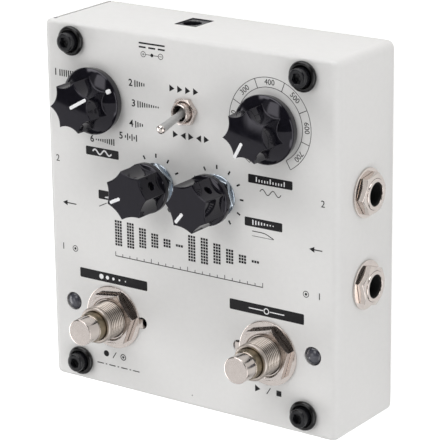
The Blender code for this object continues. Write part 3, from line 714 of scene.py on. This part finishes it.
# -------------------------------------------------------------------- toggle
def toggle():
    top = UNDER - 0.1 - TOP
    at = placed((*TOGGLE, TOP))
    rings = [circle(2.3, top - 6.0, 96), circle(2.3, 3.05, 96), circle(2.34, 3.4, 96), circle(2.55, 3.77, 96), circle(2.68, 3.85, 96), circle(2.78, 3.82, 96), circle(2.95, 3.63, 96), circle(3.0, 3.45, 96)]
    body = threaded(3.0, top, 3.3, 0.6, 0.1, 96)
    rings += body[::-1] + [circle(3.0, top - 6.0, 96)]
    make("toggle_bushing", skin(rings, closed=True), at, HOUSING, NICKEL_SOFT, "nickel", ["toggle_switch"], sharp=40)
    case = solid("toggle_case", to_mesh("toggle_case", *block((-4, -6.5, top - 9.0), (4, 6.5, top - 0.02)), at))
    cut(case, (*rod(3.02, top - 6.02, top + 1), at))
    soften(case, 0.25)
    piece(case, HOUSING, SWITCH_CASE, "nickel")
    rings = hex_nut(7.9, 6, 0.1, 1.7, 3.16, slope=0.2, recess=(3.62, 0.3))
    make("toggle_hex_nut", rings, at, HOUSING, NICKEL_SOFT, "nickel", ["toggle_nut"])
    profile = [
        (0, -5.0), (0.6, -5.0), (0.8, -4.8), (0.8, -1.7), (1.3, -1.2), (1.55, -0.5), (1.55, 0.3), (1.4, 0.9), (1.18, 1.5), (1.12, 2.2),
        (1.2, 6.6), (1.36, 10.7), (1.43, 11.8), (1.45, 12.1), (1.39, 12.48), (1.2, 12.8), (0.9, 12.98), (0.5, 13.07), (0, 13.1),
    ]
    verts, faces = turned(profile, 64)
    lean = Matrix.Rotation(math.radians(13.0), 4, "X")
    lever = solid("toggle_bat", to_mesh("toggle_bat", verts, faces, placed((*TOGGLE, TOP + 1.0), lean)))
    piece(lever, "toggle", [LEVER, NICKEL], "lever", ["toggle_lever"], sharp=45, weighted=False)
    back = (placed((*TOGGLE, TOP + 1.0), lean)).inverted()
    for polygon in lever.data.polygons:
        if (back @ polygon.center).z > 12.0 * MM:
            polygon.material_index = 1


# -------------------------------------------------------------- footswitches
def footswitches():
    top = -WALL - 0.1
    nut_turn = {"left": 7.6, "right": 14.4}
    for side, s in SIDES:
        at = placed((s * SWITCH_X, SWITCH_Y, TOP))
        n = 120
        rings = [circle(5.0, -16.5, n), circle(5.0, 7.6, n), circle(4.86, 7.8, n), circle(4.86, 9.98, n), circle(4.9, 10.06, n), circle(4.98, 10.1, n), circle(5.5, 10.1, n), circle(5.62, 10.06, n)]
        rings += [circle(5.9, 9.84, n), circle(5.94, 9.78, n), circle(5.95, 9.7, n), circle(5.95, 9.6, n)]
        rings += threaded(5.95, top, 9.6, 0.85, 0.42, n, 12)[::-1]
        rings += [circle(5.95, -16.5, n)]
        bushing = make(f"bushing_{side}", skin(rings, closed=True), at, HOUSING, [NICKEL_DULL, THREAD_ROOT_SHADE], "nickel", [f"footswitch_body_{side}"], sharp=50)
        axis = Vector((s * SWITCH_X, SWITCH_Y, 0)) * MM
        # Faces deep in the thread grooves take the painted shade.
        for polygon in bushing.data.polygons:
            reach = (polygon.center - axis).xy.length / MM
            if 5.4 < reach < 5.77 and polygon.center.z < (TOP + 9.3) * MM:
                polygon.material_index = 1
        case = solid(f"switch_case_{side}", to_mesh("case", *block((-8.5, -8.5, top - 18.0), (8.5, 8.5, top - 0.02)), at))
        cut(case, (*rod(5.96, -16.5, top + 1, 96), at))
        tags = [(*block((-1.0, y - 0.5, 8.3 - TOP), (1.0, y + 0.5, top - 17.9)), at) for y in (-5.0, 0.0, 5.0)]
        cut(case, *tags, operation="UNION")
        soften(case, 0.2)
        piece(case, HOUSING, SWITCH_CASE, "nickel")
        button = [
            (0, 17.8), (3.9, 17.8), (4.12, 17.79), (4.22, 17.75), (4.28, 17.66), (4.3, 17.5), (4.3, 12.95), (4.33, 12.86), (4.42, 12.82), (4.6, 12.8),
            (4.67, 12.74), (4.7, 12.62), (4.7, -8.2), (4.5, -8.5), (0, -8.5),
        ]
        plunger = make(f"plunger_{side}", turned(button, 120), at, f"button_{side}", [NICKEL, PLUNGER_GAP_SHADE], "nickel", [f"footswitch_button_{side}"], sharp=50)
        # The plunger's side below its cap takes the dark brown painted shade.
        for polygon in plunger.data.polygons:
            if (polygon.center - axis).xy.length > 4.4 * MM and polygon.center.z < (TOP + 12.9) * MM:
                polygon.material_index = 1
        low, high = (corner[2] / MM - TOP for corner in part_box(f"footswitch_spring_{side}"))
        spring = make(f"return_spring_{side}", coil(3.7, 0.4, low, high, 5), at, HOUSING, STEEL, "spring_wire", [f"footswitch_spring_{side}"], sharp=80)
        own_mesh(spring)
        make(f"hex_nut_{side}", hex_nut(15.9, nut_turn[side], 0.9, 3.0, 6.15, slope=0.05, recess=(6.95, 0.32)), at, HOUSING, NICKEL, "nickel", [f"footswitch_nut_{side}"])
        washer_shape = [(6.25, 0.1), (10.3, 0.1), (10.38, 0.18), (10.4, 0.3), (10.4, 0.56), (10.36, 0.65), (10.28, 0.69), (10.18, 0.7), (9.8, 0.7), (9.4, 0.7), (6.4, 0.7), (6.25, 0.6)]
        verts, faces = turned(washer_shape, 144)
        washer = solid(f"washer_{side}", to_mesh("washer", verts, faces, at))
        flip = at @ Matrix.Rotation(0 if s > 0 else math.pi, 4, "Z")
        arm = [(*block((-11.9, -1.45, -0.9), (-11.0, 1.45, 0.66)), flip)]
        bridge = [(*block((-11.5, -1.45, 0.15), (-9.8, 1.45, 0.665)), flip)]
        cut(washer, *arm, operation="UNION")
        cut(washer, *bridge, operation="UNION")
        piece(washer, HOUSING, NICKEL, "nickel", [f"tab_washer_{side}"])


# ----------------------------------------------------------- sockets, lights
def sockets():
    inside = SIDE - WALL - 0.1
    for side, s in SIDES:
        for row, y in JACK_Y.items():
            at = placed((0, y, JACK_Z), Matrix.Rotation(math.radians(90 * s), 4, "Y"))
            n = 96
            rings = [circle(3.62, inside, n), circle(3.62, 57.6, n), circle(3.65, 57.94, n), circle(3.72, 58.09, n), circle(3.82, 58.16, n), circle(3.95, 58.18, n)]
            rings += [circle(4.45, 58.18, n), circle(4.62, 58.13, n), circle(4.74, 57.98, n), circle(4.8, 57.75, n), circle(4.8, 57.5, n)]
            rings += threaded(4.8, inside, 57.4, 0.75, 0.18, n)[::-1]
            make(f"socket_nose_{row}_{side}", skin(rings, closed=True), at, HOUSING, NICKEL, "nickel", [f"jack_{row}_{side}"], sharp=45)
            x0, x1 = sorted((s * (inside - 25.0), s * (inside - 0.02)))
            case = solid(f"socket_case_{row}_{side}", to_mesh("case", *block((x0, -7.5, 8.3 - JACK_Z), (x1, 7.5, 7.7)), placed((0, y, JACK_Z))))
            cut(case, (*rod(3.45, inside - 22.0, SIDE + 8), at))
            soften(case, 0.3)
            piece(case, HOUSING, [CASE], "jack_body")
            liner = turned([(3.45, inside - 1.0), (3.45, 57.35), (3.5, 57.45), (3.6, 57.45), (3.6, inside - 0.04), (3.6, inside - 1.0)], n)
            make(f"socket_liner_{row}_{side}", liner, at, HOUSING, BORE, "jack_body")
            washer_shape = [(5.05, SIDE + 0.1), (7.6, SIDE + 0.1), (7.72, SIDE + 0.18), (7.75, SIDE + 0.35), (7.7, SIDE + 0.55), (7.55, SIDE + 0.66), (7.35, SIDE + 0.7), (5.2, SIDE + 0.7), (5.05, SIDE + 0.6)]
            make(f"socket_washer_{row}_{side}", turned(washer_shape, 120), at, HOUSING, NICKEL, "nickel", [f"jack_washer_{row}_{side}"])
            nut = hex_nut(11.6, JACK_NUT_TURN[f"{row}_{side}"], SIDE + 0.8, SIDE + 3.2, 4.84, slope=0.5, lip=0.06)
            make(f"socket_nut_{row}_{side}", nut, at, HOUSING, NICKEL, "nickel", [f"jack_nut_{row}_{side}"])


def power_inlet():
    inside = END - WALL - 0.1
    still = placed((0, 0, 0))
    body = solid("inlet_case", to_mesh("inlet_case", *block((INLET_X - 4.8, inside - 13.5, 8.3), (INLET_X + 4.8, inside, INLET_Z + 5.4)), still))
    snout = (
        *block(
            (INLET_X - INLET_W / 2 + 0.1, inside - 1.0, INLET_Z - INLET_H / 2 + 0.1),
            (INLET_X + INLET_W / 2 - 0.1, END - 0.25, INLET_Z + INLET_H / 2 - 0.1),
        ),
        still,
    )
    cut(body, snout, operation="UNION")
    at = placed((INLET_X - 0.55, inside, INLET_Z + 0.3), Matrix.Rotation(math.radians(-90), 4, "X"))
    cut(body, (*turned([(0, -10.0), (2.95, -10.0), (2.95, 0.8), (3.15, 1.05), (3.15, 4.0), (0, 4.0)], 72), at))
    soften(body, 0.12, angle=40)
    piece(body, HOUSING, INLET_CASE, "inlet", ["dc_inlet"])
    pin = [(0, -0.4), (0.35, -0.42), (0.75, -0.6), (0.98, -0.95), (1.05, -1.4), (1.05, -10.4), (0, -10.4)]
    make("inlet_pin", turned(pin, 48), at, HOUSING, NICKEL, "nickel")


def lights():
    for side, s in SIDES:
        at = placed((s * LED_X, LED_Y, TOP))
        low = 22.8 + 0.3 - TOP
        profile = [(0, 0.62), (0.7, 0.58), (1.4, 0.42), (2.0, 0.15), (2.45, -0.2), (2.75, -0.62), (2.85, -1.0), (2.85, -1.32), (3.35, -1.35), (3.4, -1.45), (3.4, low), (0, low)]
        material = lens_material(f"smoked_lens_{side}", (s * LED_X, LED_Y, TOP))
        make(f"light_{side}", turned(profile, 72), at, HOUSING, material, "led", [f"status_led_{side}"], weighted=False)


# --------------------------------------------------------------------- print
class Print:
    """Flat printed marks, each a closed sheet of ink a few hundredths thick."""

    def __init__(self, name, low, high):
        self.name, self.low, self.high = name, low, high
        self.bm = bmesh.new()

    def outline(self, points):
        made = [[self.bm.verts.new(Vector((x, y, z)) * MM) for x, y in points] for z in (self.low, self.high)]
        n = len(points)
        self.bm.faces.new(made[0][::-1])
        self.bm.faces.new(made[1])
        for j in range(n):
            k = (j + 1) % n
            self.bm.faces.new((made[0][j], made[0][k], made[1][k], made[1][j]))

    def strip(self, inner, outer, loop=False):
        """Band between two lines of points."""
        n = len(inner)
        rows = [[self.bm.verts.new(Vector((x, y, z)) * MM) for x, y in line] for line, z in ((inner, self.low), (outer, self.low), (outer, self.high), (inner, self.high))]
        for j in range(n if loop else n - 1):
            k = (j + 1) % n
            for r in range(4):
                q = (r + 1) % 4
                self.bm.faces.new((rows[r][j], rows[r][k], rows[q][k], rows[q][j]))
        if not loop:
            self.bm.faces.new([rows[r][0] for r in range(4)])
            self.bm.faces.new([rows[r][n - 1] for r in range(4)][::-1])

    def line(self, points, width):
        """Drawn line of even width through the points."""
        p = np.array(points, float)
        d = np.diff(p, axis=0)
        d /= np.linalg.norm(d, axis=1)[:, None]
        normals = np.stack([-d[:, 1], d[:, 0]], 1)
        joined = np.vstack([normals[:1], (normals[:-1] + normals[1:]) / 2, normals[-1:]])
        joined /= (joined**2).sum(1)[:, None]
        self.strip(p - joined * width / 2, p + joined * width / 2)

    def arc(self, at, radius, width, start=0.0, end=360.0, steps=None):
        whole = abs(end - start) >= 360
        steps = steps or max(6, int(abs(end - start) / 4))
        a = np.radians(np.linspace(start, end, steps + (0 if whole else 1), endpoint=not whole))
        ring = np.stack([np.cos(a), np.sin(a)], 1)
        self.strip(np.array(at) + ring * (radius - width / 2), np.array(at) + ring * (radius + width / 2), whole)

    def dot(self, at, radius, steps=20):
        self.outline([(at[0] + radius * math.cos(math.tau * k / steps), at[1] + radius * math.sin(math.tau * k / steps)) for k in range(steps)])

    def bar(self, x0, y0, x1, y1, rounding=0.0):
        if rounding:
            cx, cy = (x0 + x1) / 2, (y0 + y1) / 2
            self.outline([(cx + x, cy + y) for x, y in bar_outline(x1 - x0, y1 - y0, rounding, 4)])
        else:
            self.outline([(x0, y0), (x1, y0), (x1, y1), (x0, y1)])

    def figures(self, text, at, height, turn=0.0, bold=0.0):
        """Plain figures in the default font."""
        curve = bpy.data.curves.new(self.name + "_figures", "FONT")
        curve.body = text
        curve.size = height * MM / 0.72
        curve.align_x = "CENTER"
        curve.align_y = "CENTER"
        curve.resolution_u = 4
        curve.offset = bold * MM
        curve.extrude = (self.high - self.low) / 2 * MM
        helper = solid(self.name + "_helper", curve)
        graph = bpy.context.evaluated_depsgraph_get()
        mesh = bpy.data.meshes.new_from_object(helper.evaluated_get(graph))
        bpy.data.objects.remove(helper, do_unlink=True)
        mesh.transform(placed((*at, (self.low + self.high) / 2), Matrix.Rotation(math.radians(turn), 4, "Z")))
        start = len(self.bm.verts)
        self.bm.from_mesh(mesh)
        self.bm.verts.ensure_lookup_table()
        bmesh.ops.remove_doubles(self.bm, verts=self.bm.verts[start:], dist=1e-7)
        bpy.data.meshes.remove(mesh)

    def done(self, material, slot):
        bmesh.ops.recalc_face_normals(self.bm, faces=self.bm.faces)
        mesh = bpy.data.meshes.new(self.name)
        self.bm.to_mesh(mesh)
        self.bm.free()
        return piece(solid(self.name, mesh), HOUSING, material, slot, weighted=False)


def echo(ink, x, y, height, heights, pitch, width):
    """Row of upright bars that die away."""
    for k, part in enumerate(heights):
        tall = height * part
        ink.bar(x + k * pitch, y - tall / 2, x + k * pitch + width, y + tall / 2)


def triangle(ink, x, y, size, way):
    ink.outline([(x, y - size / 2), (x + way * size * 0.85, y), (x, y + size / 2)][:: 1 if way > 0 else -1])


def arrow(ink, x0, x1, y, width=0.3, head=1.5):
    way = 1 if x1 > x0 else -1
    ink.bar(min(x0, x1 - way * head), y - width / 2, max(x0, x1 - way * head), y + width / 2)
    points = [(x1 - way * head, y - head * 0.5), (x1, y), (x1 - way * head, y + head * 0.5)]
    ink.outline(points if way > 0 else points[::-1])


def prints():
    ink = Print("panel_print", TOP + 0.006, TOP + 0.034)
    light = Print("plate_print", TOP + 0.038, TOP + 0.06)

    # dial ring with plain figures
    at = (30.7, 37.1)
    for radius in (11.57, 14.58):
        ink.arc(at, radius, 0.17, -60, 240, 90)
    for k in range(8):
        t = math.radians(-60 + 300 / 7 * k)
        ink.line([(at[0] + r * math.cos(t), at[1] + r * math.sin(t)) for r in (11.66, 14.49)], 0.2)
    for k in range(7):
        t = 240 - 300 / 7 * (k + 0.5)
        spot = (at[0] + 13.05 * math.cos(math.radians(t)), at[1] + 13.05 * math.sin(math.radians(t)))
        ink.figures(str(100 * (k + 1)), spot, 1.75, t - 90)

    # selector figures, each with its own pattern of repeats
    marks = [
        ((-46.3, 42.7), (1.0,) * 8),
        ((-18.1, 43.1), (1.0, 0.85, 0.7, 0.55, 0.42)),
        ((-15.0, 36.7), (1.0, 0.88, 0.77, 0.67, 0.58, 0.5, 0.42, 0.35, 0.29, 0.24)),
        ((-18.6, 30.1), (1.0, 0.75, 0.55, 0.4)),
        ((-21.9, 25.6), (0.4, 1.0, 0.4, 1.0, 0.4, 1.0)),
        ((-32.1, 22.9), (0.2, 0.28, 0.36, 0.45, 0.56, 0.68, 0.8, 0.9, 1.0)),
    ]
    for k, ((x, y), pattern) in enumerate(marks):
        wide = 2.2 + 0.85 * len(pattern)
        ink.figures(str(k + 1), (x - wide / 2 + 0.6, y), 2.25, bold=0.05)
        echo(ink, x - wide / 2 + 2.1, y, 2.15, pattern, 0.86, 0.4)

    # toggle: straight repeats above, repeats that swap sides below
    for k in range(4):
        triangle(ink, -5.9 + k * 2.95, 43.5, 2.2, 1)
    for k in range(5):
        way = 1 if k % 2 == 0 else -1
        triangle(ink, -4.9 + k * 2.9 + (0 if way > 0 else 1.85), 29.1, 2.2, way)

    # direct current and polarity
    ink.bar(-17.2, 56.0, -7.4, 56.5)
    for k in range(3):
        ink.bar(-17.2 + k * 3.6, 54.75, -14.6 + k * 3.6, 55.25)
    for x, upright in ((-15.6, True), (-9.0, False)):
        ink.arc((x, 52.8), 0.85, 0.17)
        ink.bar(x - 0.45, 52.72, x + 0.45, 52.88)
        if upright:
            ink.bar(x - 0.08, 52.89, x + 0.08, 53.22)
            ink.bar(x - 0.08, 52.38, x + 0.08, 52.71)
    ink.dot((-12.3, 52.8), 0.55)
    ink.bar(-14.72, 52.72, -12.86, 52.88)
    ink.bar(-11.74, 52.72, -9.88, 52.88)

    # sockets: figures for the two channels, arrows for the way in and out
    ink.figures("2", (-50.5, 14.4), 2.2)
    arrow(ink, -43.6, -49.0, 0.05, 0.32, 1.8)
    ink.figures("1", (-49.4, -14.95), 2.2)
    ink.arc((-44.6, -14.95), 0.95, 0.2)
    ink.dot((-44.6, -14.95), 0.42)
    ink.figures("2", (49.4, 15.6), 2.2)
    arrow(ink, 49.2, 44.6, 1.0, 0.32, 1.8)
    ink.figures("1", (48.2, -13.6), 2.2)
    ink.arc((43.4, -13.6), 0.95, 0.2)
    ink.dot((43.4, -13.6), 0.42)

    # tick marks round the two level knobs
    for x, y in (MIX, FEEDBACK):
        for k in range(11):
            t = math.radians(-60 + 30 * k)
            ink.line([(x + r * math.cos(t), y + r * math.sin(t)) for r in (8.4, 9.7)], 0.54)

    # plates with plain white signs
    ink.bar(-39.0, 17.5, -26.1, 20.3, 0.35)
    wave = [(-36.3 + 7.4 * t, 18.9 + 0.72 * math.sin(t * 4 * math.pi)) for t in np.linspace(0, 1, 49)]
    light.line(wave, 0.5)
    ink.bar(22.8, 18.2, 38.7, 20.9, 0.35)
    for k in range(11):
        tall = 1.5 if k % 5 == 0 else 0.8
        light.bar(25.6 + k * 1.0, 18.8, 25.98 + k * 1.0, 18.8 + tall)
    ink.bar(21.4, 4.4, 35.0, 7.2, 0.35)
    echo(light, 24.2, 5.8, 1.6, (1.0, 0.86, 0.72, 0.58, 0.46, 0.36, 0.26, 0.18), 1.05, 0.42)
    ink.bar(-34.5, 3.6, -20.9, 6.5, 0.35)
    light.line([(-32.0, 4.3), (-23.5, 4.3), (-23.5, 5.8), (-32.0, 4.42)], 0.2)
    ink.bar(-42.9, -24.1, -16.1, -20.9, 0.4)
    for k, radius in enumerate((0.85, 0.65, 0.48, 0.34, 0.22)):
        light.dot((-34.3 + k * 2.4, -22.5), radius)
    ink.bar(15.5, -23.6, 42.7, -20.2, 0.4)
    light.arc((29.1, -21.9), 0.85, 0.32)
    light.bar(22.6, -22.06, 27.9, -21.74)
    light.bar(30.3, -22.06, 35.6, -21.74)

    # second functions: a roll-off curve, a wave, and signs for the keys
    wave = [(27.0 + 7.6 * t, 15.95 + 0.8 * math.sin(t * 4 * math.pi)) for t in np.linspace(0, 1, 49)]
    ink.line(wave, 0.24)
    ink.line([(24.1, 3.0), (27.3, 3.0), (28.6, 2.9), (29.6, 2.6), (31.9, 1.6)], 0.26)
    ink.line([(24.1, 1.5), (31.9, 1.5)], 0.14)
    ink.line([(-34.4, 1.0), (-31.4, 2.5)], 0.24)
    ink.dot((-33.2, -48.6), 1.05)
    ink.line([(-30.6, -49.7), (-29.2, -47.5)], 0.26)
    ink.arc((-26.4, -48.6), 0.95, 0.28)
    ink.dot((-26.4, -48.6), 0.4)
    for k, (x0, x1) in enumerate(((-37.0, -34.4), (-33.6, -33.0), (-32.2, -29.6), (-28.8, -28.2), (-27.4, -24.8), (-24.0, -23.4), (-22.6, -20.0))):
        ink.bar(x0, -52.45, x1, -52.15)
    triangle(ink, 24.7, -47.9, 2.3, 1)
    ink.line([(29.0, -49.0), (30.4, -46.8)], 0.26)
    ink.bar(32.6, -48.8, 34.4, -47.0)

    # dot-matrix band: groups of dots that die away twice
    pitch, rows = 0.955, 9
    groups = (9, 9, 7, 5, 3, 1, 9, 9, 7, 5, 3, 1)
    for g, tall in enumerate(groups):
        for c in range(3):
            x = -28.3 + g * 4.74 + c * pitch
            for r in range(tall):
                y = -6.7 + (r - (tall - 1) / 2) * pitch
                ink.bar(x, y - 0.37, x + 0.74, y + 0.37)
    ink.bar(-28.4, -14.55, 27.9, -14.3)
    for k in range(21):
        x = -28.3 + k * 2.805
        ink.bar(x - 0.1, -14.29, x + 0.1, -13.5 if k % 5 else -13.0)
    ink.dot((0.7, -55.7), 0.2, 10)
    ink.done(INK, "cover")
    light.done(PAINT, "cover")


# --------------------------------------------------------- carried-over nodes
def carried_over():
    looks = {
        "base_plate": ZINC,
        "main_board": BOARD,
        "control_board": BOARD,
    }
    for name in ("selector", "beat", "mix", "feedback"):
        looks[f"{name}_shaft"] = ZINC
        looks[f"{name}_pot" if name != "selector" else "selector_switch"] = ZINC
    for name, material in looks.items():
        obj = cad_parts[name]
        obj.data.materials.clear()
        obj.data.materials.append(material)


# --------------------------------------------------------------------- studio
def studio():
    """Pale floor, a soft sky of broad panels, and the camera."""
    floor_mesh = bpy.data.meshes.new("floor")
    size = 6.0
    floor_mesh.from_pydata([(-size, -size, 0), (size, -size, 0), (size, size, 0), (-size, size, 0)], [], [(0, 1, 2, 3)])
    floor = solid("floor", floor_mesh)
    mat = bpy.data.materials.new("floor_paper")
    mat.use_nodes = True
    shader = mat.node_tree.nodes["Principled BSDF"]
    shader.inputs["Base Color"].default_value = (0.8, 0.8, 0.8, 1)
    shader.inputs["Roughness"].default_value = 0.9
    shader.inputs["Specular IOR Level"].default_value = 0.0
    shader.inputs["Emission Color"].default_value = (1, 1, 1, 1)
    tree = mat.node_tree
    glow = node(tree, "ShaderNodeMath", operation="MULTIPLY_ADD")
    tree.links.new(node(tree, "ShaderNodeLightPath").outputs["Is Camera Ray"], glow.inputs[0])
    glow.inputs[1].default_value = 0.5
    glow.inputs[2].default_value = 0.16
    tree.links.new(glow.outputs[0], shader.inputs["Emission Strength"])
    floor_mesh.materials.append(mat)

    world = bpy.data.worlds.new("studio")
    bpy.context.scene.world = world
    world.use_nodes = True
    tree = world.node_tree
    tree.nodes.clear()
    out = node(tree, "ShaderNodeOutputWorld")
    background = node(tree, "ShaderNodeBackground")
    tree.links.new(background.outputs[0], out.inputs["Surface"])
    xyz = node(tree, "ShaderNodeSeparateXYZ")
    tree.links.new(node(tree, "ShaderNodeTexCoord").outputs["Generated"], xyz.inputs[0])

    def math_node(operation, a, b=None, clamp=False):
        made = node(tree, "ShaderNodeMath", operation=operation, use_clamp=clamp)
        for slot, value in enumerate((a, b)):
            if value is None:
                continue
            if isinstance(value, (int, float)):
                made.inputs[slot].default_value = value
            else:
                tree.links.new(value, made.inputs[slot])
        return made.outputs[0]

    up = math_node("MAXIMUM", xyz.outputs["Z"], 0.03)
    u = math_node("DIVIDE", xyz.outputs["X"], up)
    v = math_node("DIVIDE", xyz.outputs["Y"], up)
    elevation = math_node("MULTIPLY", math_node("ARCSINE", xyz.outputs["Z"]), 180 / math.pi)
    bearing = math_node("MULTIPLY", math_node("ARCTAN2", xyz.outputs["Y"], xyz.outputs["X"]), 180 / math.pi)

    def rise(value, start, end):
        made = node(tree, "ShaderNodeMapRange", interpolation_type="SMOOTHSTEP")
        made.inputs["From Min"].default_value = start
        made.inputs["From Max"].default_value = end
        tree.links.new(value, made.inputs["Value"])
        return made.outputs["Result"]

    def product(*factors):
        out = factors[0]
        for factor in factors[1:]:
            out = math_node("MULTIPLY", out, factor)
        return out

    total = None
    for u0, u1, v0, v1, e, glow in OVERHEAD:
        lit = product(rise(u, u0 - e, u0 + e), rise(u, u1 + e, u1 - e), rise(v, v0 - e, v0 + e), rise(v, v1 + e, v1 - e), glow)
        total = lit if total is None else math_node("ADD", total, lit)
    for middle, half, low, high, e, glow in AROUND:
        turned_away = math_node("WRAP", math_node("SUBTRACT", bearing, middle), 180.0)
        turned_away.node.inputs[2].default_value = -180.0
        off = math_node("ABSOLUTE", turned_away)
        lit = product(rise(off, half + e, half - e), rise(elevation, low - e, low + e), rise(elevation, high + e, high - e), glow)
        total = math_node("ADD", total, lit)
    total = math_node("ADD", total, SKY)
    seen = node(tree, "ShaderNodeLightPath").outputs["Is Camera Ray"]
    backdrop = node(tree, "ShaderNodeMix", data_type="FLOAT")
    tree.links.new(seen, backdrop.inputs[0])
    tree.links.new(total, backdrop.inputs[2])
    backdrop.inputs[3].default_value = 1.0
    tree.links.new(backdrop.outputs[0], background.inputs["Strength"])
    background.inputs["Color"].default_value = (1.0, 0.997, 1.0, 1)

    camera = bpy.data.cameras.new("camera")
    camera.sensor_width = 36.0
    camera.lens = 187.885
    camera.clip_start, camera.clip_end = 0.01, 50.0
    rows = [
        (0.8208853693, -0.0123129046, -0.5709602462),
        (0.1641188868, -0.9525088264, 0.2564993698),
        (-0.5470029263, -0.3042619399, -0.7798797795),
    ]
    x, y, z = Vector(rows[0]), -Vector(rows[1]), -Vector(rows[2])
    place = Matrix((x, y, z)).transposed().to_4x4()
    place.translation = (0.395568, 0.217639, 0.579909)
    eye = solid("camera", camera)
    eye.matrix_world = place
    bpy.context.scene.camera = eye
    bpy.context.scene.view_settings.view_transform = "Standard"
    bpy.context.scene.view_settings.look = "None"


# Bright overhead panels: from and to as x/z, from and to as y/z, softness, brightness
OVERHEAD = [
    (-1.7, -0.3, -3.0, -0.3375, 0.006, 0.72),
    (-0.3, 1.25, -3.0, -0.18, 0.006, 0.72),
    (-0.66, -0.42, -0.28, 0.08, 0.03, 2.3),
    (-0.32, 0.14, 0.27, 0.95, 0.06, 2.1),
    (-0.62, 0.14, 0.3, 1.25, 0.15, 0.3),
]
# Bright panels standing round: middle and half width in degrees from +X, elevations, softness, brightness
AROUND = [
    (196, 23, 12, 37, 4, 2.9),
    (-14, 38, 12, 42, 5, 2.2),
    (101, 33, 5, 34, 5, 3.5),
]
SKY = 0.05

enclosure()
corner_fixings()
knobs()
toggle()
footswitches()
sockets()
power_inlet()
lights()
prints()
carried_over()
studio()
